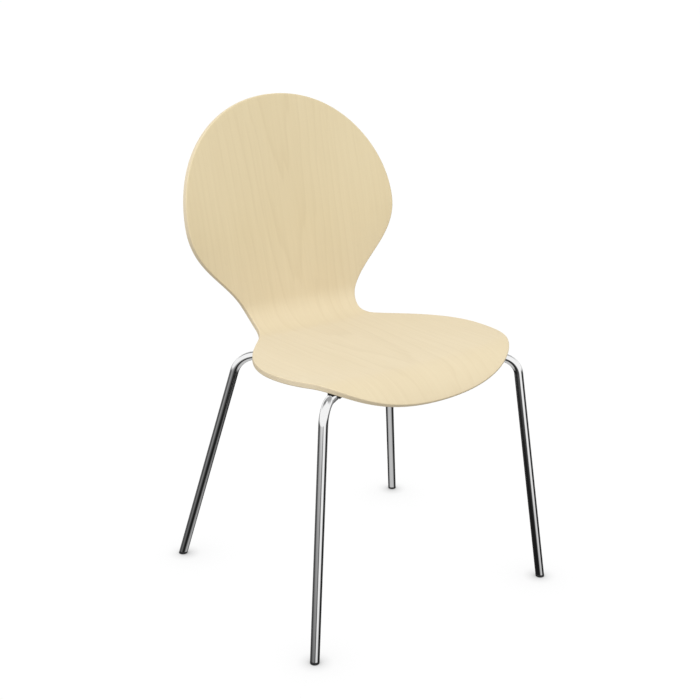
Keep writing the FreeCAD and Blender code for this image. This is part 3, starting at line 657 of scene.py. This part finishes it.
def underside(x, y, passes=6):
    """Height of the shell's lower face above a point, closer with every pass."""
    run = LIP_LENGTH + (y - FRONT_Y - profile(LIP_LENGTH)[0]) / math.cos(SEAT_ANGLE)
    for _ in range(passes):
        across = x / (1 + 2 * dish(run) * THICKNESS)
        run += (y - pressed(across, run, THICKNESS).y) / math.cos(SEAT_ANGLE)
    return pressed(across, run, THICKNESS).z


PAD_BOTTOM = underside(0, HUB_Y) - PAD_THICKNESS
PLATE_BOTTOM = PAD_BOTTOM - PLATE_THICKNESS
HUB_Z = PLATE_BOTTOM - TUBE / 2
SEAT_END_Y = FRONT_Y + profile(SEAT_END)[0]


def leg(corner, spread, hub, bend):
    """The run of one leg on the +X side: foot, top corner and corner beside the plate."""
    corner = Vector(corner)
    foot = Vector((corner.x + spread[0], corner.y + spread[1], 0))
    return {"foot": foot, "corner": corner, "hub": Vector(hub), "bend": bend}


# each leg's top corner, how far its foot stands out from there, its corner beside the
# plate, and the radius of its upper bend
LEGS = {
    "front": leg(
        (SEAT_HALF - 0.0248, FRONT_Y + 0.0475, HUB_Z + 0.0205), (0.048, -0.039),
        (0.025, HUB_Y - 0.048, HUB_Z), 0.035,
    ),
    "rear": leg(
        (SEAT_HALF - 0.0628, SEAT_END_Y + 0.012, HUB_Z + 0.0020), (0.086, 0.0915),
        (0.045, HUB_Y + 0.032, HUB_Z), 0.044,
    ),
}
HUB_BEND = 0.036
print("middle of the tubes is at", round(HUB_Z, 4))

# %% Draw out and spin a ring
TUBE_SIDES = 48
BEND_STEPS = 16
MIRROR_SEAM = 1e-5


def placed(start, direction):
    """A matrix that puts a flat circle at a point, square to a direction."""
    return Matrix.Translation(start) @ direction.to_track_quat("Z", "X").to_matrix().to_4x4()


def draw_out(bm, edges, vector):
    """Extrude a ring of edges along a vector and return the new ring."""
    grown = bmesh.ops.extrude_edge_only(bm, edges=edges)["geom"]
    verts = only(BMVert, grown)
    bmesh.ops.translate(bm, vec=vector, verts=verts)
    return [
        edge for edge in only(BMEdge, grown) if all(vert in verts for vert in edge.verts)
    ]


def bend_round(bm, edges, corner, before, after, radius):
    """Spin a ring round the arc that joins two straight runs."""
    back = (before - corner).normalized()
    ahead = (after - corner).normalized()
    half_turn = (math.pi - back.angle(ahead)) / 2
    centre = corner + (back + ahead).normalized() * (radius / math.cos(half_turn))
    spun = bmesh.ops.spin(
        bm, geom=edges, cent=centre, axis=back.cross(ahead), angle=-2 * half_turn,
        steps=BEND_STEPS, use_merge=False,
    )
    return only(BMEdge, spun["geom_last"])


def tube_reach(corner, before, after, radius):
    """How far from a corner its bend starts."""
    turn = math.pi - (before - corner).angle(after - corner)
    return radius * math.tan(turn / 2)


print("a tube has", TUBE_SIDES, "sides, and a bend has", BEND_STEPS, "steps")

# %% One frame, from foot to foot
def leg_frame_mesh(run):
    """One continuous tube with a wall, from foot to foot."""
    foot, corner, hub = run["foot"], run["corner"], run["hub"]
    upward = (corner - foot).normalized()
    start = foot - upward * TUBE
    middle = Vector((0, hub.y, hub.z))
    bm = bmesh.new()
    bmesh.ops.create_circle(
        bm, segments=TUBE_SIDES, radius=TUBE / 2, matrix=placed(start, upward)
    )
    edges = bm.edges[:]
    places = [start, corner, hub, middle]
    radii = [run["bend"], HUB_BEND]
    stand = start
    for before, bend, after, radius in zip(places, places[1:], places[2:], radii):
        reach = tube_reach(bend, before, after, radius)
        begin = bend + (before - bend).normalized() * reach
        edges = draw_out(bm, edges, begin - stand)
        edges = bend_round(bm, edges, bend, before, after, radius)
        stand = bend + (after - bend).normalized() * reach
    draw_out(bm, edges, middle - stand)
    bmesh.ops.mirror(bm, geom=everything(bm), axis="X", merge_dist=MIRROR_SEAM)
    bmesh.ops.remove_doubles(bm, verts=bm.verts[:], dist=SAME_POINT)
    bmesh.ops.recalc_face_normals(bm, faces=bm.faces[:])
    bmesh.ops.solidify(bm, geom=bm.faces[:], thickness=TUBE_WALL)
    cut = bmesh.ops.bisect_plane(
        bm, geom=everything(bm), dist=ON_PLANE, plane_co=(0, 0, GLIDE_HEIGHT),
        plane_no=(0, 0, 1), clear_inner=True,
    )
    rims = only(BMEdge, cut["geom_cut"])
    for hand in (1, -1):
        one_end = [edge for edge in rims if edge.verts[0].co.x * hand > 0]
        bmesh.ops.bridge_loops(bm, edges=one_end)
    return bm


print("front foot at", tuple(round(v, 3) for v in LEGS["front"]["foot"]))

# %% [markdown]
# ## Chrome
# Chrome plate mirrors the studio, so its look comes from the room: long bright and dark
# bands.  The plating itself is nearly smooth.  It only varies a little in gloss, with
# faint polishing lines along the tube and a few wiped patches.

# %% Plate the tubes
PATCH_SCALE = 14.0
MARK_SCALE = (900.0, 900.0, 30.0)
PLATE_TONES = [(0.3, (0.85, 0.855, 0.86)), (0.7, (0.91, 0.91, 0.91))]
# the least roughness, and what the patches and the polishing marks add to it
PLATE_SMOOTH, PATCH_SHARE, MARK_SHARE = 0.035, 0.05, 0.03


def chrome_finish():
    """Bright plated steel with faint polishing marks."""
    finish, shader = start_finish("chrome_plate", Metallic=1.0)
    place = add_node(finish, "ShaderNodeTexCoord").outputs["Object"]
    patches = add_noise(finish, place, PATCH_SCALE)
    marks = add_noise(finish, add_stretch(finish, place, MARK_SCALE), 1.0, 2.0)
    connect(finish, add_ramp(finish, patches, PLATE_TONES), shader, "Base Color")
    gloss = add_maths(finish, "MULTIPLY_ADD", patches, PATCH_SHARE, PLATE_SMOOTH)
    gloss = add_maths(finish, "MULTIPLY_ADD", marks, MARK_SHARE, gloss)
    connect(finish, gloss, shader, "Roughness")
    add_bump(finish, shader, marks, strength=0.02, distance=0.0001)
    return finish


chrome = chrome_finish()
for side, run in LEGS.items():
    finish_piece(
        leg_frame_mesh(run), f"bent_{side}_leg_frame", [chrome],
        node=f"{side}_leg_frame",
    )

# %% [markdown]
# ## Glides
# A steel tube would scratch a floor, so each foot ends in a black plastic glide.  It is a
# disc as wide as the tube, cut level like it, with a stem that is pushed up the bore.
# A bar is drawn along the leg, sliced at the floor and at the tube's end, and the stem
# grows out of its top.

# %% Moulded plastic
WEAR_SCALE = 45.0
WEAR_STOPS = [(0.5, 0.0), (0.8, 0.6)]
# worn plastic is this many times as light, and lighter by this much
WEAR_GAIN, WEAR_LIFT, WEAR_ROUGHNESS = 1.9, 0.012, 0.2


def plastic_finish(name, tone, grain, roughness, relief):
    """Moulded plastic or rubber: an even tone, a fine spark texture and slight wear."""
    finish, shader = start_finish(name, IOR=1.49)
    place = add_node(finish, "ShaderNodeTexCoord").outputs["Object"]
    texture = add_noise(finish, place, grain, 2.0)
    wear = add_noise(finish, place, WEAR_SCALE, 4.0)
    worn = tuple(value * WEAR_GAIN + WEAR_LIFT for value in tone)
    shade = mix_colours(finish, add_ramp(finish, wear, WEAR_STOPS), (*tone, 1), (*worn, 1))
    connect(finish, shade, shader, "Base Color")
    rough = add_maths(finish, "MULTIPLY_ADD", wear, WEAR_ROUGHNESS, roughness)
    connect(finish, rough, shader, "Roughness")
    add_bump(finish, shader, texture, strength=0.35, distance=relief)
    return finish


glide_black = plastic_finish(
    "glide_black", (0.018, 0.018, 0.019), grain=2600.0, roughness=0.38, relief=0.00008
)
print("plastic:", glide_black.name)

# %% Mould the glides
STEM_CLEARANCE = 0.0001
STEM_LENGTH = 0.022
SOLE_ROUND, SOLE_SEGMENTS = 0.0008, 4
TIP_ROUND, TIP_SEGMENTS = 0.001, 2


def top_face(bm):
    """The highest face of a mesh."""
    return max(bm.faces, key=lambda face: face.calc_center_median().z)


def glide_mesh(foot, upward):
    """One glide under one foot."""
    bm = bmesh.new()
    bmesh.ops.create_circle(
        bm, cap_ends=True, segments=TUBE_SIDES, radius=TUBE / 2,
        matrix=placed(foot - upward * TUBE, upward),
    )
    draw_faces(bm, bm.faces[:], upward * TUBE * 2)
    slice_level(bm, 0.0, keep_below=False)
    slice_level(bm, GLIDE_HEIGHT, keep_below=True)
    bmesh.ops.recalc_face_normals(bm, faces=bm.faces[:])
    sole = [edge for edge in bm.edges if all(vert.co.z < SOLE_ROUND / 4 for vert in edge.verts)]
    round_edges(bm, sole, SOLE_ROUND, SOLE_SEGMENTS)
    top = top_face(bm)
    bmesh.ops.inset_region(bm, faces=[top], thickness=TUBE_WALL + STEM_CLEARANCE)
    draw_faces(bm, [top], upward * STEM_LENGTH)
    bmesh.ops.delete(bm, geom=[top], context="FACES")
    round_edges(bm, top_face(bm).edges[:], TIP_ROUND, TIP_SEGMENTS)
    return bm


def mirrored(point):
    """The same point on the chair's other side."""
    return Vector((-point.x, point.y, point.z))


SIDES = (("left", lambda point: point), ("right", mirrored))
for side, run in LEGS.items():
    for word, to_side in SIDES:
        foot, corner = to_side(run["foot"]), to_side(run["corner"])
        finish_piece(
            glide_mesh(foot, (corner - foot).normalized()), f"moulded_{side}_{word}_glide",
            [glide_black], node=f"{side}_{word}_glide",
        )

# %% [markdown]
# ## Rubber buffers
# Near the edge of the seat a rubber saddle sits on each tube and fills the gap up to the
# sheet, so that the seat does not knock on steel.  Its section is a thick arc round the
# tube.  The arc is spun, drawn out along the tube, and its upper half is raised until it
# meets the sheet's lower face.

# %% Mould the buffers
BUFFER_AT = 0.068
BUFFER_LENGTH = 0.026
BUFFER_WALL = 0.003
# the saddle's mouth lies this far below the middle of the tube
MOUTH_DROP = 0.003
MOUTH_ANGLE = math.asin(MOUTH_DROP / (TUBE / 2 + BUFFER_WALL / 2))
ARC_STEPS = 36
BUFFER_SHARP = math.radians(50)
BUFFER_ROUND, BUFFER_SEGMENTS = 0.0006, 3


def buffer_mesh(corner, hub):
    """A saddle on the upper run of one tube, from `corner` towards `hub`."""
    inward = (hub - corner).normalized()
    sideways = Vector((0, 0, 1)).cross(inward).normalized()
    upward = inward.cross(sideways)
    start = corner + inward * (BUFFER_AT - BUFFER_LENGTH / 2)
    low = sideways * math.cos(MOUTH_ANGLE) - upward * math.sin(MOUTH_ANGLE)
    bm = bmesh.new()
    inner = bm.verts.new(start + low * (TUBE / 2))
    outer = bm.verts.new(start + low * (TUBE / 2 + BUFFER_WALL))
    bmesh.ops.spin(
        bm, geom=[bm.edges.new((inner, outer))], cent=start, axis=inward,
        angle=math.pi + 2 * MOUTH_ANGLE, steps=ARC_STEPS, use_merge=False,
    )
    draw_faces(bm, bm.faces[:], inward * BUFFER_LENGTH)
    bmesh.ops.recalc_face_normals(bm, faces=bm.faces[:])
    middle_radius = (TUBE + BUFFER_WALL) / 2
    roof = []
    # the two end faces look along the tube, and are not part of the roof
    for face in bm.faces:
        away = face.calc_center_median() - start
        away -= inward * away.dot(inward)
        if away.length > middle_radius and away.dot(upward) > 0:
            if abs(face.normal.dot(inward)) < 0.5:
                roof.append(face)
    raised = bmesh.ops.extrude_face_region(bm, geom=roof)
    bmesh.ops.delete(bm, geom=roof, context="FACES")
    for vert in only(BMVert, raised["geom"]):
        vert.co.z = underside(vert.co.x, vert.co.y)
    bmesh.ops.recalc_face_normals(bm, faces=bm.faces[:])
    sharp = [
        edge for edge in bm.edges
        if len(edge.link_faces) == 2 and edge.calc_face_angle() > BUFFER_SHARP
    ]
    round_edges(bm, sharp, BUFFER_ROUND, BUFFER_SEGMENTS, clamp=True)
    return bm


buffer_black = plastic_finish(
    "buffer_rubber", (0.022, 0.021, 0.020), grain=1500.0, roughness=0.66, relief=0.00015
)
for side, run in LEGS.items():
    for word, to_side in SIDES:
        finish_piece(
            buffer_mesh(to_side(run["corner"]), to_side(run["hub"])),
            f"moulded_{side}_{word}_buffer", [buffer_black],
            node=f"{side}_{word}_buffer",
        )

# %% [markdown]
# ## The hidden joint
# Under the seat a plywood pad is glued to the sheet.  Both tubes are welded to a steel
# plate, and four screws with washers pull the plate against the pad, into threaded
# inserts.  A moulded cap hides all of it.  These pieces are right as measured, so each
# one is a copy of the measured mesh with its loose triangles joined, shaded smooth
# between its sharp edges, and given a finish that suits it.

# %% A finish for the pad
PAD_PLY = 0.003
PAD_LONG, PAD_END, PAD_DEEP = (0.66, 0.52, 0.34, 1), (0.52, 0.385, 0.225, 1), (0.40, 0.28, 0.15, 1)
PAD_STOPS = [(0.0, 0.0), (0.46, 0.0), (0.5, 1.0), (0.96, 1.0), (1.0, 0.0)]
PAD_FIBRE_SCALE = (14.0, 420.0, 300.0)


def pad_finish():
    """Birch plywood: grain on the flat side, plies round the rim."""
    finish, shader = start_finish("pad_birch", IOR=1.48)
    place = add_node(finish, "ShaderNodeTexCoord").outputs["Object"]
    height = add_node(finish, "ShaderNodeSeparateXYZ", {"Vector": place}).outputs["Z"]
    ply = add_maths(finish, "FRACT", add_maths(finish, "MULTIPLY", height, 1 / PAD_PLY))
    fibre = add_noise(finish, add_stretch(finish, place, PAD_FIBRE_SCALE), 1.0)
    tone = mix_colours(finish, add_ramp(finish, ply, PAD_STOPS), PAD_LONG, PAD_END)
    tone = mix_colours(finish, add_maths(finish, "MULTIPLY", fibre, 0.35), tone, PAD_DEEP)
    connect(finish, tone, shader, "Base Color")
    connect(finish, add_maths(finish, "MULTIPLY_ADD", fibre, 0.2, 0.5), shader, "Roughness")
    add_bump(finish, shader, fibre, strength=0.2, distance=0.0003)
    return finish


pad_birch = pad_finish()
print("pad:", pad_birch.name)

# %% Finishes for the metal
THREAD_PITCH = 0.001
# grit is this many times as fine as the blotches, and lies this high
GRIT_SCALE, GRIT_RELIEF = 25, 0.25


def metal_finish(name, low, high, roughness, patch_scale, thread_pitch=None):
    """Plated or mill steel: blotches of tone and gloss, with a thread where asked."""
    finish, shader = start_finish(name, Metallic=1.0)
    place = add_node(finish, "ShaderNodeTexCoord").outputs["Object"]
    blotch = add_noise(finish, place, patch_scale, 5.0)
    grit = add_noise(finish, place, patch_scale * GRIT_SCALE, 2.0)
    tone = add_ramp(finish, blotch, [(0.3, low), (0.7, high)])
    connect(finish, tone, shader, "Base Color")
    rough = add_maths(finish, "MULTIPLY_ADD", blotch, 0.25, roughness)
    connect(finish, rough, shader, "Roughness")
    relief = add_maths(finish, "MULTIPLY", grit, GRIT_RELIEF)
    if thread_pitch:
        height = add_node(finish, "ShaderNodeSeparateXYZ", {"Vector": place}).outputs["Z"]
        turns = add_maths(finish, "MULTIPLY", height, 1 / thread_pitch)
        ridge = add_maths(finish, "PINGPONG", turns, 0.5)
        relief = add_maths(finish, "ADD", relief, ridge)
    add_bump(finish, shader, relief, strength=0.5, distance=0.0004)
    return finish


zinc = metal_finish(
    "bright_zinc", (0.55, 0.56, 0.58), (0.70, 0.71, 0.74),
    roughness=0.22, patch_scale=180.0, thread_pitch=THREAD_PITCH,
)
mill_steel = metal_finish(
    "mill_steel", (0.16, 0.165, 0.175), (0.30, 0.31, 0.33), roughness=0.38, patch_scale=60.0
)
weld_steel = metal_finish(
    "weld_steel", (0.20, 0.17, 0.16), (0.40, 0.42, 0.48), roughness=0.32, patch_scale=420.0
)
cap_black = plastic_finish(
    "cap_black", (0.020, 0.020, 0.021), grain=1100.0, roughness=0.46, relief=0.00018
)
print("metals:", zinc.name, mill_steel.name, weld_steel.name)

# %% Join and smooth the measured pieces
def smoothed(node, finish):
    """A merged, smooth copy of a measured node that stands for it."""
    bm = bmesh.new()
    bm.from_mesh(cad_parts[node].data)
    bmesh.ops.remove_doubles(bm, verts=bm.verts[:], dist=SAME_POINT)
    finish_piece(bm, f"smooth_{node}", [finish], node=node)


for node, finish, slot_name in (
    ("mounting_pad", pad_birch, "pad_plywood"),
    ("mounting_plate", mill_steel, "plate_steel"),
    ("weld_beads", weld_steel, "plate_steel"),
    ("threaded_inserts", zinc, "zinc_steel"),
    ("washers", zinc, "zinc_steel"),
    ("machine_screws", zinc, "zinc_steel"),
    ("cover_cap", cap_black, "cap_plastic"),
):
    smoothed(node, finish)

# %% [markdown]
# ## The floor
# The chair stands on a white table that glows a little, as a lit table does, so only the
# small shadows at the feet show.  A lamp under a glass sheet could do that, but a glow on
# the floor itself, dimmed where little open sky reaches it, is simpler and more even.

# %% Floor
FLOOR_SIZE = 60.0
FLOOR_GREY = 0.50
FLOOR_WHITE = 1.015
floor_mesh = bmesh.new()
bmesh.ops.create_grid(floor_mesh, x_segments=1, y_segments=1, size=FLOOR_SIZE / 2)
floor_data = bpy.data.meshes.new("studio_floor")
floor_mesh.to_mesh(floor_data)
floor_mesh.free()
floor = bpy.data.objects.new("studio_floor", floor_data)
bpy.context.collection.objects.link(floor)
floor.visible_glossy = False
print("floor:", FLOOR_SIZE, "m")

# %% The floor's glow and its small shadows
# each soft shadow at a foot: how far it reaches, and how dark it is
CONTACTS = ((0.025, 0.55), (0.15, 0.5))
CONTACT_SAMPLES = 16
floor_finish, floor_shader = start_finish(
    "pale_floor", Base_Color=(FLOOR_GREY, FLOOR_GREY, FLOOR_GREY, 1), Roughness=0.9,
)
shade = FLOOR_WHITE
for reach, power in CONTACTS:
    open_sky = add_node(
        floor_finish, "ShaderNodeAmbientOcclusion", {"Distance": reach},
        samples=CONTACT_SAMPLES,
    ).outputs["AO"]
    contact = add_maths(floor_finish, "POWER", open_sky, power)
    shade = add_maths(floor_finish, "MULTIPLY", contact, shade)
sheet_glow = add_node(
    floor_finish, "ShaderNodeEmission", {"Color": (1, 1, 1, 1), "Strength": shade}
)
floor_rays = add_node(floor_finish, "ShaderNodeLightPath")
above = add_node(
    floor_finish, "ShaderNodeMixShader",
    {0: floor_rays.outputs["Is Camera Ray"], 1: floor_shader.outputs["BSDF"],
     2: sheet_glow.outputs["Emission"]},
)
below = add_node(floor_finish, "ShaderNodeNewGeometry").outputs["Backfacing"]
clear = add_node(floor_finish, "ShaderNodeBsdfTransparent").outputs["BSDF"]
sided = add_node(
    floor_finish, "ShaderNodeMixShader", {0: below, 1: above.outputs["Shader"], 2: clear}
)
floor_finish.node_tree.links.new(
    sided.outputs["Shader"], floor_finish.node_tree.nodes["Material Output"].inputs["Surface"]
)
floor_data.materials.append(floor_finish)
print("soft shadows reach", [reach for reach, power in CONTACTS], "m")

# %% [markdown]
# ## The room
# Soft, even light suits the wood, but chrome needs something dark to mirror.  Cards could
# stand around the chair, and would shade it.  Instead each kind of ray meets a room of
# its own: an even one lights the chair, and the tubes mirror one with tall bright panels,
# a dark wall and dark gaps between them.

# %% Even light for the chair
ROOM_LIGHT = 0.80
ROOM_TINT = (1.0, 0.985, 0.94, 1)
room = bpy.data.worlds.new("studio_room")
room.use_nodes = True
bpy.context.scene.world = room
backdrop = room.node_tree.nodes["Background"]
backdrop.inputs["Color"].default_value = ROOM_TINT
backdrop.inputs["Strength"].default_value = ROOM_LIGHT
print("even light:", ROOM_LIGHT)

# %% What the chrome mirrors
# each soft panel: azimuth, half width inside and outside, and the elevations between
# which it fades in, all in degrees, and its brightness
PANELS = [
    (4.0, 9.0, 36.0, -36.0, -15.0, 0.96),
    (-75.0, 22.0, 46.0, -32.0, 2.0, 0.56),
    (130.0, 15.0, 58.0, -38.0, -12.0, 0.30),
    (-160.0, 10.0, 50.0, -42.0, -14.0, 0.10),
]
# the elevations between which the upper room fades in, then how bright it is
SKY_FROM, SKY_TO, SKY_LIGHT = -9.0, 4.0, 1.0
# the dark wall behind the chair: azimuth, half width inside and outside, then where it
# starts above the lit skirting and where it gives way to the lit ceiling
WALL_AZIMUTH, WALL_INSIDE, WALL_OUTSIDE = 145.0, 40.0, 85.0
WALL_FROM, WALL_TO, CEILING_FROM, CEILING_TO = 14.0, 32.0, 78.0, 62.0
WALL_DARK = -0.92
# the same for the table below
TABLE_FROM, TABLE_TO, TABLE_LIGHT = -40.0, -55.0, 0.56
DARKNESS = 0.012
print("soft panels:", len(PANELS))

# %% Fade from one part of the room to the next
facing = add_node(room, "ShaderNodeTexCoord").outputs["Generated"]
ray_height = add_node(room, "ShaderNodeSeparateXYZ", {"Vector": facing}).outputs["Z"]
level_ray = add_node(
    room, "ShaderNodeVectorMath", {0: add_stretch(room, facing, (1.0, 1.0, 0.0))},
    operation="NORMALIZE",
).outputs["Vector"]


def fade_up(low, high):
    """0 at the elevation `low` and 1 at `high`, in degrees."""
    start, end = math.sin(math.radians(low)), math.sin(math.radians(high))
    return add_range(room, ray_height, start, end, easing="SMOOTHSTEP")


def seen_panel(azimuth, inside, outside, low, high):
    """How much of a soft panel a ray meets, from 0 to 1."""
    towards = tuple(direction_from(math.radians(azimuth), 0.0))
    alike = add_node(
        room, "ShaderNodeVectorMath", {0: level_ray, 1: towards}, operation="DOT_PRODUCT"
    ).outputs["Value"]
    begin, full = math.cos(math.radians(outside)), math.cos(math.radians(inside))
    wide = add_range(room, alike, begin, full, easing="SMOOTHSTEP")
    return add_maths(room, "MULTIPLY", wide, fade_up(low, high))


wall = seen_panel(WALL_AZIMUTH, WALL_INSIDE, WALL_OUTSIDE, WALL_FROM, WALL_TO)
wall = add_maths(room, "MULTIPLY", wall, fade_up(CEILING_FROM, CEILING_TO))
lit_share = add_maths(room, "MULTIPLY_ADD", wall, WALL_DARK, 1.0)
seen_light = add_maths(room, "MULTIPLY", fade_up(SKY_FROM, SKY_TO), SKY_LIGHT)
seen_light = add_maths(room, "MULTIPLY", seen_light, lit_share)
seen_light = add_maths(
    room, "MULTIPLY_ADD", fade_up(TABLE_FROM, TABLE_TO), TABLE_LIGHT, seen_light
)
for azimuth, inside, outside, low, high, brightness in PANELS:
    panel = seen_panel(azimuth, inside, outside, low, high)
    seen_light = add_maths(room, "MULTIPLY_ADD", panel, brightness, seen_light)
seen_light = add_maths(room, "MINIMUM", add_maths(room, "ADD", seen_light, DARKNESS), 1.0)
print("panels and wall are placed")

# %% Each kind of ray sees its own room
BEHIND_LIGHT = 1.3
mirror_view = add_node(
    room, "ShaderNodeBackground", {"Color": (1, 1, 1, 1), "Strength": seen_light}
)
room_rays = add_node(room, "ShaderNodeLightPath")
lit = add_node(
    room, "ShaderNodeMixShader",
    {0: room_rays.outputs["Is Glossy Ray"], 1: backdrop.outputs["Background"],
     2: mirror_view.outputs["Background"]},
)
white = add_node(
    room, "ShaderNodeBackground", {"Color": (1, 1, 1, 1), "Strength": BEHIND_LIGHT}
)
shown = add_node(
    room, "ShaderNodeMixShader",
    {0: room_rays.outputs["Is Camera Ray"], 1: lit.outputs["Shader"],
     2: white.outputs["Background"]},
)
room.node_tree.links.new(
    shown.outputs["Shader"], room.node_tree.nodes["World Output"].inputs["Surface"]
)
print("the camera sees a white room of", BEHIND_LIGHT)

# %% [markdown]
# ## The key light
# Even light alone leaves the sheet looking flat.  One large soft light, high beside the
# camera, gives the seat and the back their shape.  Mirror rays do not meet it, because
# its square would show in the tubes.

# %% Hang the key light
KEY_POWER = 52.0
KEY_TINT = (0.88, 0.97, 1.16)
KEY_SIZE = 2.2
KEY_AZIMUTH, KEY_ELEVATION = math.radians(-52.0), math.radians(58.0)
KEY_DISTANCE = 3.0
KEY_AIM = Vector((0, 0, 0.5))
light = bpy.data.lights.new("key_panel", "AREA")
light.energy = KEY_POWER
light.color = KEY_TINT
light.size = KEY_SIZE
key_panel = bpy.data.objects.new("key_panel", light)
towards_key = direction_from(KEY_AZIMUTH, KEY_ELEVATION)
key_panel.location = KEY_AIM + towards_key * KEY_DISTANCE
look_along(key_panel, -towards_key)
key_panel.visible_camera = False
key_panel.visible_glossy = False
bpy.context.collection.objects.link(key_panel)
bpy.context.scene.view_settings.view_transform = "Standard"
print("key light:", KEY_POWER, "W")
